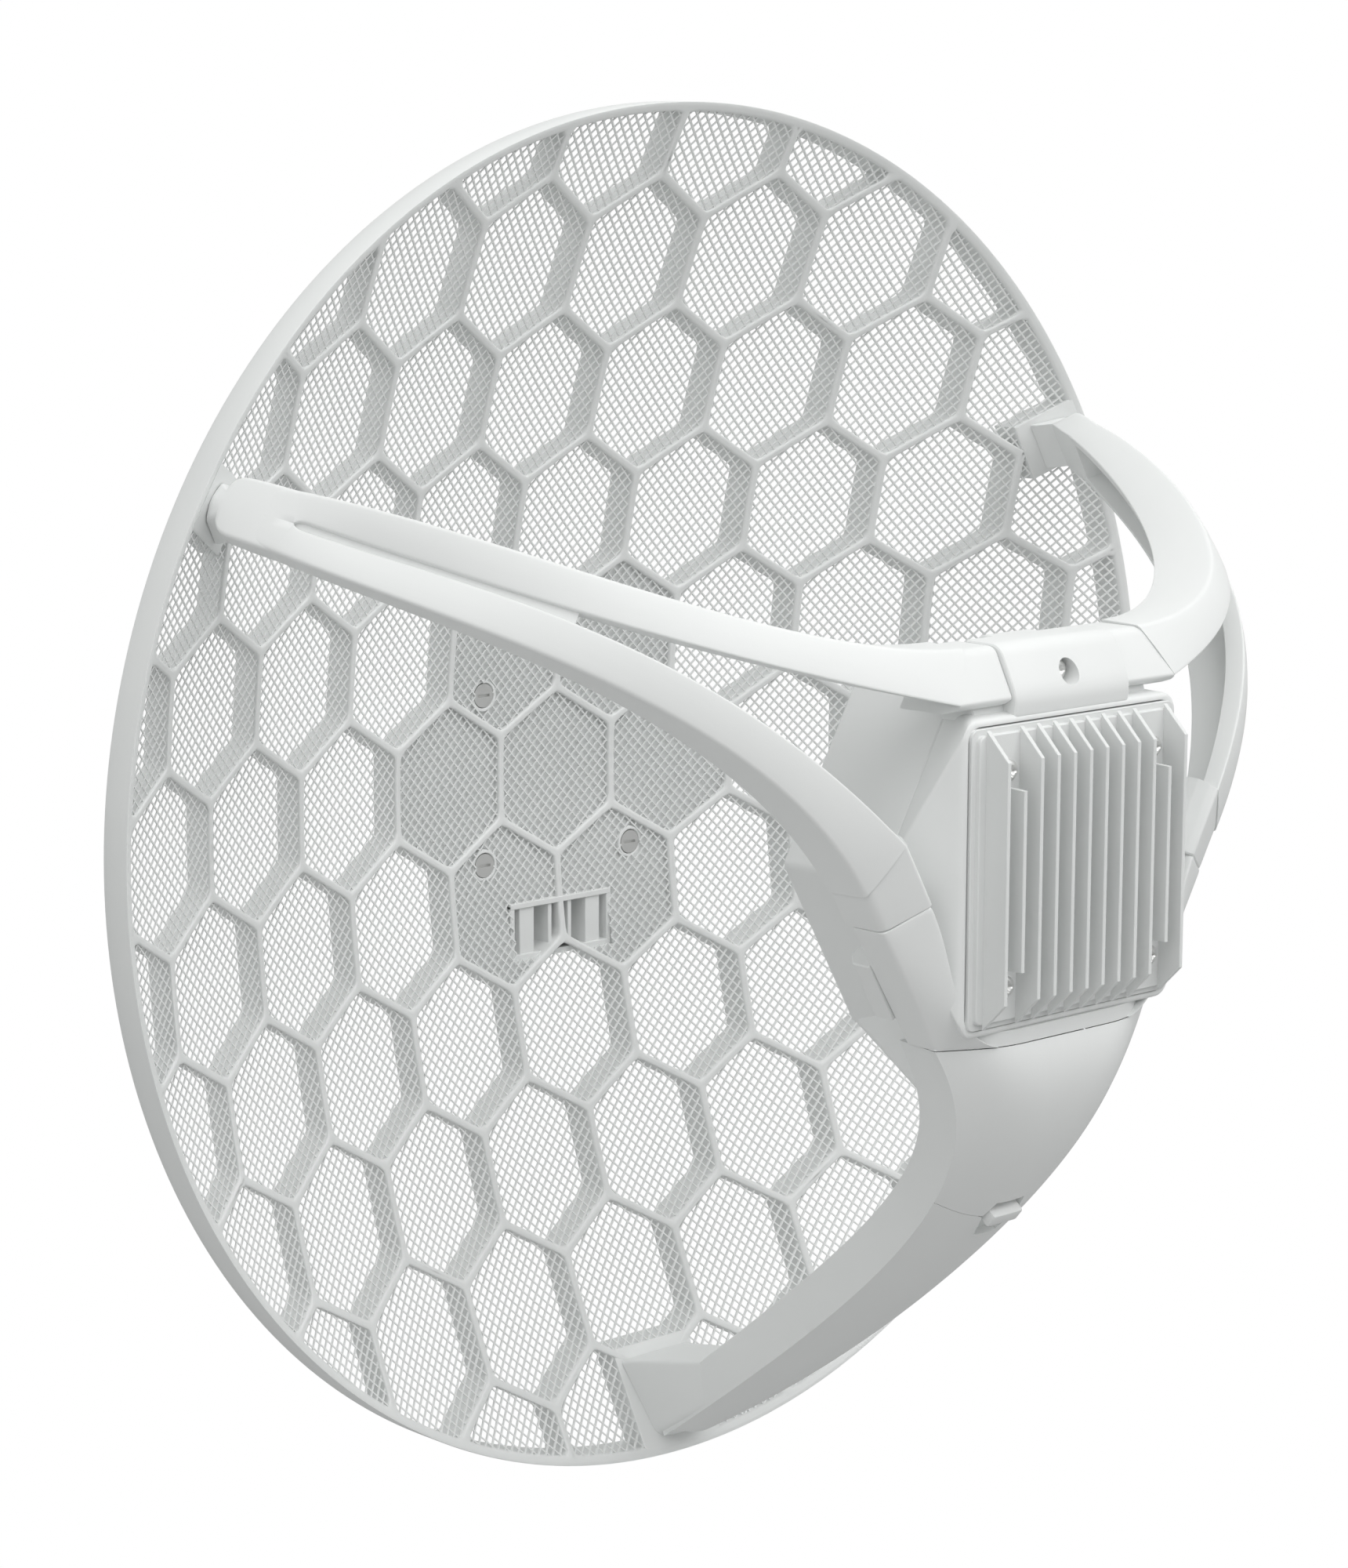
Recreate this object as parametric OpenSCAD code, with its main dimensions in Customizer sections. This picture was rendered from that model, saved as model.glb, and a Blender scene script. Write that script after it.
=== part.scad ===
// Outdoor dish router: a honeycomb reflector, three arms that join as three hoops, and a router head at
// the focus. Everything is drawn in the dish's own frame (X right, Y up, Z along the beam, 0 at the bottom
// of the bowl) and placed() turns that upright, with the pole axis as origin.

/* [Reflector] */
// Outside diameter of the dish
dish_d = 391; // [340:1:460]
// Focal length of the bowl
focal = 165; // [150:1:190]
// Distance between honeycomb cell centres
cell_w = 43.4; // [38:0.2:50]
// Width of a honeycomb rib
rib_w = 2.3; // [1.6:0.1:3.2]
// Height of the honeycomb ribs
rib_h = 10.5; // [8:0.5:14]
// Width of the rim seen from the front
rim_w = 2.6; // [2:0.1:5]
// Thickness of the mesh between the ribs
mesh_t = 0.8; // [0.6:0.1:1.2]
// How far the mesh lies behind the rib fronts
mesh_set = 0.8; // [0.4:0.1:1.2]
// Thickness of the solid web in the seven centre cells
web_t = 1.8; // [1.2:0.1:2.4]
// Flat seat for the pole bracket, behind the bottom of the bowl
seat_z = 6; // [5:0.5:8]

/* [Pole bracket] */
// Diameter of the pole
pole_d = 36; // [30:1:38]
// Thickness of the bracket plate
bracket_t = 4; // [3:0.5:6]
// Half of the saddle's arc around the pole
saddle_half = 57; // [55:1:62]
// Height of the saddle
saddle_h = 88; // [70:1:92]
// Distance between the bracket screws, across
bracket_dx = 57.5; // [52:0.5:62]
// Distance between the bracket screws, up
bracket_dy = 50.3; // [46:0.1:56]
// Width of a strap slot
slot_w = 2.4; // [2:0.1:3]
// Height of a strap slot
slot_h = 13.8; // [12:0.2:16]
// Height of the slot group's middle below the axis
slot_y = 46.5; // [45:0.5:48]

/* [Arms] */
// Wall of the arms
arm_t = 2.4; // [1.8:0.1:3]
// Distance of the arm seams from the axis
seam_u = 59; // [57:0.5:62]
// Gap between the two branches of an arm
groove = 3.4; // [2:0.2:5]
// Depth of the inner lip of a branch
lip_h = 6; // [4:0.5:8]
// Half width of an arm's foot
foot_half = 8; // [6:0.5:10]
// Wall of the cable channel
channel_t = 2.2; // [1.8:0.1:2.8]

/* [Head] */
// Distance of the head's rear face from the bottom of the bowl
head_z = 148.5; // [140:0.5:152]
// Width of the hexagonal shell across flats, at the rear
hex_w = 93; // [90:0.5:98]
// Width of the hexagonal shell across flats, at the seam
hex_front_w = 90.4; // [88:0.4:93]
// Side of the square front frame
frame_w = 82; // [80:0.5:86]
// Wall of the head shells
shell_t = 2.4; // [1.8:0.1:3]
// Height of the crowns from the axis
crown_w = 59; // [57:0.5:62]
// Half length of a crown block
block_half = 22; // [18:0.5:24]

/* [Heat sink] */
// Width of the base plate
sink_w = 78; // [74:0.5:79]
// Thickness of the base plate
sink_t = 5; // [4:0.5:7]
// Number of fins
fin_count = 12; // [10:2:14]
// Distance between fins
fin_pitch = 6.25; // [5.5:0.05:6.3]
// Thickness of a fin
fin_t = 1.4; // [1:0.1:2]
// Height of the fins above the base plate
fin_h = 7.4; // [5:0.1:12]
// Length of a fin from tip to tip
fin_l = 62.6; // [56:0.2:70]
// Length of the two fins beside the screws
short_fin_l = 47; // [40:0.5:50]

/* [Electronics] */
// Thickness of the router board
board_t = 1.6; // [1.2:0.1:2]
// Width of the board across flats
board_w = 74; // [68:0.5:78]
// Height of the antenna plate above the rear wall
plate_gap = 8; // [6:0.5:10]
// Width of the network socket
jack_w = 16; // [15.5:0.1:17]
// Height of the network socket above the board
jack_h = 11.4; // [11:0.1:11.8]
// Length of the network socket
jack_l = 16; // [14:0.5:17]

/* [Port door] */
// Distance of the door's top edge from the frame
door_set = 4.4; // [4:0.1:5.2]
// Distance of the door's lower seam from the axis, at its sides
door_low = 91; // [86:0.5:94]
// How far the lower seam dips at the latch
door_dip = 7; // [5:0.5:9]
// Gap around the door
door_gap = 0.35; // [0.3:0.05:0.6]
// Width of the latch
latch_w = 11.6; // [9:0.2:14]
// Travel of the latch
latch_travel = 1.5; // [1:0.1:1.8]

/* [Hidden] */
$fn = 64;
e = 0.01;
fit = 0.1;              // radial clearance of a screw in its hole
slide_fit = 0.05;       // radial clearance of the reset plunger

rim_r = dish_d / 2;
pole_r = pole_d / 2;
pole_off = seat_z + bracket_t + pole_r;
bowl_rings = 10;
screw_d = 4;
boss_d = 9.6;
boss_head_d = 7;
boss_set = 1;           // how far a boss ends behind the rib fronts

seam_z = head_z + 35.5;             // where the two head shells meet
frame_z = seam_z + 18.4;            // front edge of the square frame
frame_y = 0.8;                      // the frame sits a little above the axis
frame_r = 4;
door_top = frame_w / 2 - frame_y + door_set;
sink_front = frame_z + 2.1;         // front of the base plate
sink_back = sink_front - sink_t;
plate_z = head_z + shell_t + plate_gap;
plate_t = 1.6;
board_z = seam_z + 2;               // rear face of the router board
board_front = board_z + board_t;
chip_w = 15;
chip_t = 1.4;
pad_t = 1;
pedestal_w = 24;
sink_screw_x = 28.1;
sink_screw_y = 28;
sink_hole_d = 3.3;
arm_angles = [150, 30];
crown_angles = [90, 210, 330];
foot_out = rim_r - 4.5;
foot_in = foot_out - 26;
foot_nose = 2;          // how far the outer end of a foot bulges
foot_tip = 3;           // half width of the flat on that end
foot_rise = 0.3;        // how far the pads under the feet stand above the ribs
foot_pad = 9;           // thickness of those pads
foot_lift = 1.425758;   // how far above the pads the branches' rear edges start

// ---- places and small helpers ----
function bowl_z(r) = r * r / (4 * focal);
function unit(v) = v / norm(v);
function rev(p) = [for (i = [len(p) - 1:-1:0]) p[i]];
function mirror_v(p) = [for (q = p) [q[0], -q[1], q[2]]];
function bez(c, t) = len(c) == 1 ? c[0]
    : bez([for (i = [0:len(c) - 2]) c[i] * (1 - t) + c[i + 1] * t], t);

// Turns the beam frame upright, with the pole axis as origin
module placed() { translate([0, -pole_off, 0]) rotate([90, 0, 0]) children(); }
module at_z(z) { translate([0, 0, z]) children(); }
module bar(z0, z1) { at_z(z0) linear_extrude(z1 - z0) children(); }
module hexagon(flats) { circle(flats / sqrt(3), $fn = 6); }
module rounded(w, h, r) {
    intersection() {
        square([w, h], center = true);
        union() {
            square([w - 2 * r, h], center = true);
            square([w, h - 2 * r], center = true);
            for (x = [-1, 1], y = [-1, 1]) translate([x * (w / 2 - r), y * (h / 2 - r)]) circle(r, $fn = 32);
        }
    }
}
module four(dx, dy) { for (x = [-1, 1], y = [-1, 1]) translate([x * dx / 2, y * dy / 2]) children(); }

// Skin through rings with equal numbers of points, each clockwise seen from the end. The first half of a ring
// runs along one side of its section and the second half back along the other, so each end closes as a strip.
module loft(rings) {
    n = len(rings[0]);
    m = len(rings);
    sides = [for (k = [0:m - 2], i = [0:n - 1]) let (j = (i + 1) % n, a = k * n, b = a + n)
        each [[a + i, a + j, b + j], [a + i, b + j, b + i]]];
    strip = [for (i = [0:n / 2 - 2]) each [[i, i + 1, n - 2 - i], [i, n - 2 - i, n - 1 - i]]];
    far = [for (f = strip) [for (v = f) v + (m - 1) * n]];
    polyhedron([for (r = rings) each r], concat([for (f = strip) rev(f)], sides, far));
}

// ---- reflector ----
// Bowl profile at a set-back behind the rib fronts
function bowl_arc(r1, back) = [for (i = [0:bowl_rings]) let (r = r1 * i / bowl_rings) [r, bowl_z(r) - back]];

// Part of the bowl between two set-backs, and never behind the bracket seat
module bowl(r1, front, back) {
    rear = [for (p = bowl_arc(r1, back)) [p[0], max(p[1], -seat_z)]];
    rotate_extrude() polygon(concat(bowl_arc(r1, front), rev(rear)));
}

// One honeycomb opening: a hexagon on its point, with its corners cut back as the fillets do
module cell(w, cut = 1.8) {
    s = w / sqrt(3);
    function corner(i) = [s * cos(60 * i + 30), s * sin(60 * i + 30)];
    polygon([for (i = [0:5], k = [-1, 1]) corner(i) + (corner(i + k) - corner(i)) * cut / s]);
}

module honeycomb() {
    rows = ceil(rim_r / (cell_w * 0.86));
    for (j = [-rows:rows], i = [-rows:rows]) {
        p = [(i + (abs(j) % 2) / 2) * cell_w, j * cell_w * sqrt(3) / 2];
        if (norm(p) < rim_r + cell_w * 0.42) translate(p) cell(cell_w - rib_w);
    }
}

// The seven closed cells in the middle
module centre_cells(grow = 0) {
    cell(cell_w + grow, 0.5);
    for (a = [0:60:300]) translate([cell_w * cos(a), cell_w * sin(a)]) cell(cell_w + grow, 0.5);
}

// Flat pads on which the arms stand, running out into the rim
module foot_pads() {
    u0 = foot_in - 1.5;
    u1 = rim_r - 2;
    for (a = concat(arm_angles, [270])) rotate(a) arm_side(foot_half + 1.5, [[u0, foot_seat(u0)], [u1, foot_seat(u1)],
        [u1, foot_seat(u1) - foot_pad], [u0, foot_seat(u0) - foot_pad]]);
}

module strap_slots(h) {
    for (x = [-1, 1]) {
        translate([x * (strap_x + slot_w / 2), -slot_y]) square([slot_w, h], center = true);
        translate([x * 7.4, -slot_y]) square([5.6, h], center = true);
    }
    translate([0, -slot_y]) square([6.4, h - 1.4], center = true);
}
strap_x = 15.8;

module reflector() {
    color("whitesmoke") difference() {
        union() {
            intersection() {
                bar(-seat_z - 1, bowl_z(rim_r) + 1) difference() {
                    circle(rim_r);
                    intersection() { honeycomb(); circle(rim_r - rim_w); }
                }
                bowl(rim_r, 0, rib_h);
            }
            bowl(rim_r - rim_w / 2, mesh_set, mesh_set + mesh_t);
            bar(-mesh_set - mesh_t - web_t, -mesh_set - mesh_t / 2) centre_cells();
            foot_pads();
            four(bracket_dx, bracket_dy)
                bar(-seat_z, bowl_z(norm([bracket_dx, bracket_dy]) / 2) - boss_set) circle(d = boss_d);
            bar(-seat_z, 0.3) translate([0, -slot_y]) square([2 * strap_x + 2 * slot_w + 6, slot_h + 5], center = true);
        }
        bar(-seat_z - 1, bowl_z(slot_y) + 8) strap_slots(slot_h);
        bar(0.3, bowl_z(slot_y) + 8)
            translate([0, -slot_y]) square([2 * strap_x + 2 * slot_w, slot_h], center = true);
        four(bracket_dx, bracket_dy) {
            bar(-seat_z - 1, 10) circle(d = screw_d + 2 * fit);
            bar(boss_z - 2, 10) circle(d = boss_head_d + 0.4);
        }
    }
}
boss_z = bowl_z(norm([bracket_dx, bracket_dy]) / 2) - boss_set;

// ---- pole bracket ----
module pole_bracket() {
    color("gainsboro") difference() {
        union() {
            bar(-seat_z - bracket_t, -seat_z) {
                rounded(bracket_dx + 12, bracket_dy + 12, 5);
                translate([0, saddle_mid]) rounded(2 * strap_x, saddle_h, 3);
            }
            bar(saddle_back, -seat_z - bracket_t + e)
                translate([0, saddle_mid]) square([2 * strap_x - 0.4, saddle_h], center = true);
        }
        translate([0, 0, -pole_off]) rotate([90, 0, 0]) cylinder(r = pole_r, h = 3 * saddle_h, center = true);
        four(bracket_dx, bracket_dy) bar(-seat_z - bracket_t - 1, -seat_z + 1) circle(d = screw_d + 2 * fit);
    }
}
saddle_mid = 31.15 - saddle_h / 2;
saddle_back = -pole_off + pole_r * cos(saddle_half);

module bracket_screws() {
    color("silver") four(bracket_dx, bracket_dy) difference() {
        union() {
            bar(-seat_z - bracket_t + 0.5, boss_z - 1.8) circle(d = screw_d);
            bar(boss_z - 2, boss_z - 0.2) circle(d = boss_head_d);
        }
        bar(boss_z - 1.1, boss_z + 1) square([4.6, 0.8], center = true);
    }
}

// ---- arms: u runs out from the axis, v sideways, z along the beam ----
// Height of the pads on the dish, and of their outer end
function foot_seat(u) = foot_rise + bowl_z(foot_in)
    + (bowl_z(foot_out) - bowl_z(foot_in)) * (u - foot_in) / (foot_out - foot_in);
heel = foot_seat(foot_out);
// Rear edge, outer crease and front edge of one branch, from the foot to the seam
rear_edge = [[foot_out - 9, 7, heel + foot_lift], [158, 14, 104], [112, 3, 173], [seam_u, 35, 182]];
crease = [[foot_out - 1, 6.6, heel + foot_lift + 2], [168, 15, 117], [114, 4, 190], [seam_u, 34.5, 195]];
front_edge = [[foot_out - 1, groove / 2, heel + foot_lift + 6], [150, groove / 2, 114], [135, 0, 182], [seam_u, 19, 201.7]];
split_t = 0.5;
arm_steps = 12;

// Channel section of a branch at t: flange, bevelled front and inner lip, all of the wall's thickness
function branch_ring(t) = let (
    r = bez(rear_edge, t), c = bez(crease, t), f = bez(front_edge, t),
    a = unit(r - c), b = unit(c - f), w = arm_t)
    [r, c, f, f + a * lip_h, f + (a * lip_h + b * w), f + (a + b) * w, c + (a - b) * w, r - b * w];

// Web that closes the groove between the branches below the split
function groove_ring(t) = let (f = bez(front_edge, t), a = unit(bez(rear_edge, t) - bez(crease, t)),
    p = f + 1.8 * a, q = f + 4 * a, h = f[1] + 0.6)
    [[q[0], -h, q[2]], [p[0], -h, p[2]], [p[0], h, p[2]], [q[0], h, q[2]]];

// Foot: a plug inside the branches' first stretch that flares to the pad on the dish
function foot_low(p) = [for (q = p) [q[0], q[1], foot_seat(q[0])]];
function both_sides(p) = concat(p, rev(mirror_v(p)));
function plug(edges, t) = let (p = [for (c = edges) bez(c, t)], m = (p[0] + p[2]) / 2)
    [for (q = p) q + 0.15 * (m - q)];

module arm_side(half, profile) { rotate([90, 0, 0]) linear_extrude(2 * half, center = true) polygon(profile); }
module arm_foot() {
    arm_side(foot_half, [[foot_in, foot_seat(foot_in)], [foot_out, heel], [foot_out - 0.5, heel + 4],
        [foot_out - 8, heel + 5.5], [foot_out - 13, heel + 2]]);
    arm_side(foot_half - 2.2, [[foot_out - 15, heel - 1], [foot_out - 3, heel + 2], [foot_out - 6.5, heel + 15],
        [foot_out - 14, heel + 13]]);
}

module y_arm() {
    rings = [for (i = [0:arm_steps]) branch_ring(i / arm_steps)];
    loft(rings);
    mirror([0, 1, 0]) loft(rings);
    loft([for (i = [arm_steps / 2:-1:0]) groove_ring(i * split_t * 2 / arm_steps)]);
    arm_foot();
}

module arm_left() { color("white") rotate(arm_angles[0]) y_arm(); }
module arm_right() { color("white") rotate(arm_angles[1]) y_arm(); }

// ---- bottom arm: an open channel with its back to the dish ----
// Half width and height along the arm, from the head to the foot: rear edge, side edge, front panel's edge
channel_rear = [[door_top, 38, 178], [72, 32, 188], [106, 20, 150], [foot_out - 19, 8.5, heel + foot_lift - 1]];
channel_side = [[door_top, 41, 193.7], [74, 28, 198], [108, 22, 172], [foot_out - 1, 8.5, heel + foot_lift]];
channel_crest = [[door_top, 25, 202.5], [80, 17, 205], [112, 8, 180], [foot_out, 3, heel + foot_lift + 3]];
channel_steps = 14;
function slope_in(t) = let (d = bez(channel_crest, t + 0.02) - bez(channel_crest, t - 0.02))
    unit([d[2], 0, -d[0]]);
function channel_half(t) = [for (c = [channel_rear, channel_side, channel_crest]) bez(c, t)];
function channel_inner(t) = let (p = channel_half(t), n = slope_in(t), w = channel_t)
    [p[2] + n * w, p[1] + 0.8 * n * w + [0, -w, 0], p[0] + [0, -w, 0]];
function channel_ring(t) = let (out = channel_half(t), in = channel_inner(t))
    concat(both_sides(out), rev(mirror_v(in)), in);

module down() { rotate(270) children(); }
module channel() { loft([for (i = [channel_steps:-1:0]) channel_ring(i / channel_steps)]); }

// Where a channel curve is at a distance from the axis
function t_of(curve, u) = lookup(u, [for (i = [0:40]) [bez(curve, i / 40)[0], i / 40]]);

latch_u = door_low + door_dip;
latch_t = t_of(channel_crest, latch_u);
latch_z = bez(channel_crest, latch_t)[2];
latch_slope = let (n = slope_in(latch_t)) atan2(-n[0], -n[2]);

// Room of the door: in front of the channel's side edges and above a seam that dips to the latch. The seam
// leans outward, so the door can swing on its top edge.
door_lean = 25;
function across_lean(u, z) = u * cos(door_lean) - z * sin(door_lean);
module door_room(grow, behind) {
    low = bez(channel_side, t_of(channel_side, door_low));
    x0 = across_lean(low[0], low[2]) + grow;
    dip = across_lean(latch_u, latch_z) + grow - x0;
    seam = [for (i = [-4:4]) [x0 + dip * (1 - i * i / 16), low[1] * i / 4]];
    intersection() {
        arm_side(60, concat([[door_top - 1, channel_side[0][2] - behind]],
            [for (i = [0:10]) let (p = bez(channel_side, i / 20)) [p[0], p[2] - behind]],
            [[120, bez(channel_side, 0.5)[2] - behind], [120, sink_front + 10], [door_top - 1, sink_front + 10]]));
        rotate([0, door_lean, 0]) bar(120, 260) polygon(concat([[-150, -60], [x0, -60]], seam, [[x0, 60], [-150, 60]]));
    }
}
// Frame of the latch: X down the slope of the arm, Z out of the surface
module at_latch() { down() translate([latch_u, 0, latch_z]) rotate([0, latch_slope, 0]) children(); }
latch_pad = 5.5;
latch_tongue = 13;
latch_low = -channel_t - 1;         // top face of the tongue under the door
tongue_t = 1.5;
catch_l = 3.2;                      // how far the tongue reaches past the door's seam
module latch_room() {
    translate([-latch_pad - latch_travel - door_gap, -latch_w / 2 - door_gap, -channel_t - 4])
        cube([latch_pad + latch_travel + 2 * door_gap + 2, latch_w + 2 * door_gap, channel_t + 8]);
}

module arm_bottom() {
    color("white") difference() {
        down() union() {
            channel();
            channel_foot();
        }
        down() door_room(door_gap, door_gap / 2);
        at_latch() latch_room();
    }
}
module channel_foot() {
    low = foot_low([[foot_in, foot_half], [foot_out - foot_nose, foot_half], [foot_out, 3]]);
    loft([both_sides(low), both_sides(plug([channel_rear, channel_side, channel_crest], 0.92))]);
}

// ---- port door and its latch ----
tab_x = 15;
module port_door() {
    color("white") {
        difference() {
            down() intersection() {
                channel();
                door_room(0, -door_gap / 2);
            }
            at_latch() latch_room();
        }
        // Tabs that hook behind the chin of the head
        for (x = [-1, 1]) down() translate([0, x * tab_x - 3, 0]) {
            bar(door_z - channel_t - 2, door_z - channel_t - 0.4) translate([door_top - 1.6, 0]) square([6, 6]);
            bar(door_z - channel_t - 0.5, door_z - channel_t + 0.6) translate([door_top + 0.4, 0]) square([4, 6]);
        }
        // Rails in which the latch slides
        at_latch() for (m = [0, 1]) mirror([0, m, 0]) translate([-latch_tongue, latch_w / 2 + 0.2, 0]) {
            translate([0, 0, latch_low - tongue_t - 1.4]) cube([5.4, 1.4, tongue_t + 1.7 - latch_low - channel_t]);
            translate([0, -1.6, latch_low - tongue_t - 1.4]) cube([5.4, 2, 1.2]);
        }
    }
}
door_z = channel_crest[0][2];

module door_latch() {
    color("white") at_latch() {
        translate([-latch_tongue, -latch_w / 2, latch_low - tongue_t]) cube([latch_tongue + catch_l, latch_w, tongue_t]);
        translate([-latch_pad, 0, latch_low - e]) rotate([90, 0, 90]) linear_extrude(latch_pad + 1)
            polygon([[-latch_w / 2, 0], [latch_w / 2, 0], [latch_w / 2, 3.6], [latch_w / 2 - 1, 4.4],
                [1 - latch_w / 2, 4.4], [-latch_w / 2, 3.6]]);
    }
}

// ---- head shells ----
// The front shell's outside: from the hexagon at the seam to the square frame
module front_form(inset, z1) {
    hull() {
        bar(seam_z, seam_z + e) hexagon(hex_front_w - 2 * inset);
        translate([0, frame_y]) bar(z1 - e, z1) rounded(frame_w - 2 * inset, frame_w - 2 * inset, frame_r);
    }
}

// A bar along a crown, with its profile in distance from the axis and height
module crown_bar(half, profile) { rotate([90, 0, 0]) linear_extrude(2 * half, center = true) polygon(profile); }
collar_profile = [[44, seam_z - 2.5], [crown_w, seam_z - 2.5], [crown_w, 195], [46, 201.7], [44, 201.7]];
block_profile = [[44, seam_z], [crown_w + 0.6, seam_z], [crown_w + 0.6, 196.4], [46.5, 203.2], [40.5, 203.2],
    [40.5, frame_z - 3], [44, frame_z - 6]];
lug_profile = [[44, seam_z - 9], [crown_w - 3, seam_z - 9], [crown_w, seam_z - 6], [crown_w, seam_z], [44, seam_z]];

// Stretch of a crown between its block and the arm seam, in front view
module collar_span(side) {
    function s_at(w) = side * ((seam_u - w / 2) / cos(30) - 0.2);
    s0 = side * (block_half + 0.1);
    polygon([[40, s0], [70, s0], [70, s_at(70)], [40, s_at(40)]]);
}
// Crown ends that an arm plugs onto; the lowest two belong to the bottom arm's sides
collar_ends = [[90, -1], [90, 1], [210, -1], [330, 1]];

// Chute below the rear shell through which the cable comes up into the head
module throat(inset) {
    hull() {
        bar(head_z + 2 + inset, head_z + 3 + inset) translate([0, 3.6 - door_top])
            square([54 - 2 * inset, 10 - 2 * inset], center = true);
        bar(throat_z - 1, throat_z + (inset > 0 ? 1 : 0)) translate([0, -4.4 - door_top])
            square([62 - 2 * inset, 22 - 2 * inset], center = true);
    }
}
throat_z = seam_z - 6.5;

module rear_housing() {
    color("white") difference() {
        union() {
            difference() {
                union() {
                    bar(head_z, head_z + 2) hexagon(hex_w - 3);
                    at_z(head_z + 2) cylinder(h = seam_z - head_z - 2, r1 = hex_w / sqrt(3), r2 = hex_front_w / sqrt(3),
                        $fn = 6);
                    throat(0);
                }
                bar(head_z + shell_t, seam_z + 1) hexagon(hex_front_w - 2 * shell_t);
                throat(shell_t);
                bar(seam_z - seal_h, seam_z + 1) hexagon(hex_front_w - 2 * shell_t + 2 * seal_w);
            }
            four(post_x, post_x) bar(head_z + shell_t - e, plate_z) circle(d = post_d);
            difference() {
                union() {
                    for (c = collar_ends) rotate(c[0]) intersection() {
                        crown_bar(50, collar_profile);
                        bar(head_z, sink_front) collar_span(c[1]);
                    }
                    for (a = crown_angles) rotate(a) crown_bar(9, lug_profile);
                }
                bar(head_z, seam_z) hexagon(hex_front_w);
                front_form(0, frame_z);
            }
        }
        rotate(90) translate([crown_screw_w, 0]) bar(seam_z - 12, seam_z + 1) circle(d = crown_screw_d + 2 * fit);
    }
}
seal_h = 1;
seal_w = 1.2;
post_x = 44;
post_d = 6;
crown_screw_d = 3;
crown_screw_w = 50.9;
crown_head_z = 196;

module housing_seal() {
    color("dimgray") bar(seam_z - seal_h, seam_z) difference() {
        hexagon(hex_front_w - 2 * shell_t + 2 * seal_w);
        hexagon(hex_front_w - 2 * shell_t);
    }
}

module front_housing() {
    color("white") difference() {
        union() {
            difference() {
                front_form(0, frame_z);
                front_form(shell_t, sink_back + 2);
            }
            intersection() {
                front_form(0, frame_z);
                union() {
                    translate([0, frame_y]) bar(sink_back - 2, sink_back) difference() {
                        rounded(frame_w, frame_w, frame_r);
                        rounded(frame_w - 12, frame_w - 12, frame_r);
                    }
                    translate([0, frame_y]) bar(board_front, sink_back) for (x = [-1, 1], y = [-1, 1])
                        translate([x * sink_screw_x, y * sink_screw_y]) {
                            circle(d = 8);
                            translate([x > 0 ? 0 : -14, -1.5]) square([14, 3]);
                        }
                }
            }
            intersection() {
                for (a = crown_angles) rotate(a) crown_bar(block_half, block_profile);
                bar(seam_z, sink_front) translate([-100, -chin_end]) square(200);
            }
            down() chin();
        }
        translate([0, frame_y]) bar(sink_back, sink_front + 5) rounded(sink_w + 0.4, sink_w + 0.4, 2);
        bar(board_z - 0.3, board_front + 0.3) translate([0, -46]) square([tongue_w + 0.6, 16], center = true);
        translate([0, frame_y]) bar(board_front - 1, sink_back + 1) four(2 * sink_screw_x, 2 * sink_screw_y)
            circle(d = 3 + 2 * fit);
        rotate(90) translate([crown_screw_w, 0]) {
            bar(seam_z - 1, sink_front + 5) circle(d = crown_screw_d + 2 * fit);
            bar(crown_head_z, sink_front + 5) circle(d = 7);
        }
    }
}
tongue_w = 40;
chin_start = door_top - 4;
chin_end = door_top - 0.3;
// Front strip between the frame and the door, with the door's own section
module chin() {
    a = channel_half(0);
    b = channel_inner(0);
    pts = concat([a[1], a[2]], rev(mirror_v([a[1], a[2]])), rev(mirror_v([b[0], b[1]])), [b[0], b[1]]);
    translate([chin_start, 0, 0]) rotate([90, 0, 90]) linear_extrude(chin_end - chin_start)
        polygon([for (p = pts) [p[1], p[2]]]);
}

module crown_screw() {
    color("silver") rotate(90) translate([crown_screw_w, 0]) {
        bar(seam_z - 8, crown_head_z) circle(d = crown_screw_d);
        bar(crown_head_z, crown_head_z + 2) circle(d = 5.6);
    }
}

// ---- heat sink ----
module fin(l) {
    rotate([90, 0, 90]) linear_extrude(fin_t, center = true)
        polygon([[-l / 2 - fin_h, 0], [l / 2 + fin_h, 0], [l / 2, fin_h], [-l / 2, fin_h]]);
}
module heat_sink() {
    color("lightgray") translate([0, frame_y]) {
        difference() {
            union() {
                bar(sink_back, sink_front) rounded(sink_w, sink_w, 1.5);
                bar(board_front + chip_t + pad_t, sink_back) square(pedestal_w, center = true);
            }
            bar(sink_back - 1, sink_front + 1) four(2 * sink_screw_x, 2 * sink_screw_y) circle(d = sink_hole_d);
        }
        for (i = [0:fin_count - 1]) translate([(i - (fin_count - 1) / 2) * fin_pitch, 0, sink_front - e])
            fin(i == 1 || i == fin_count - 2 ? short_fin_l - 2 * fin_h : fin_l);
    }
}
module heat_sink_screws() {
    color("silver") translate([0, frame_y]) four(2 * sink_screw_x, 2 * sink_screw_y) {
        bar(board_front + 1, sink_front) circle(d = 3);
        bar(sink_front, sink_front + 2.6) circle(d = 6);
    }
}

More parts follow.
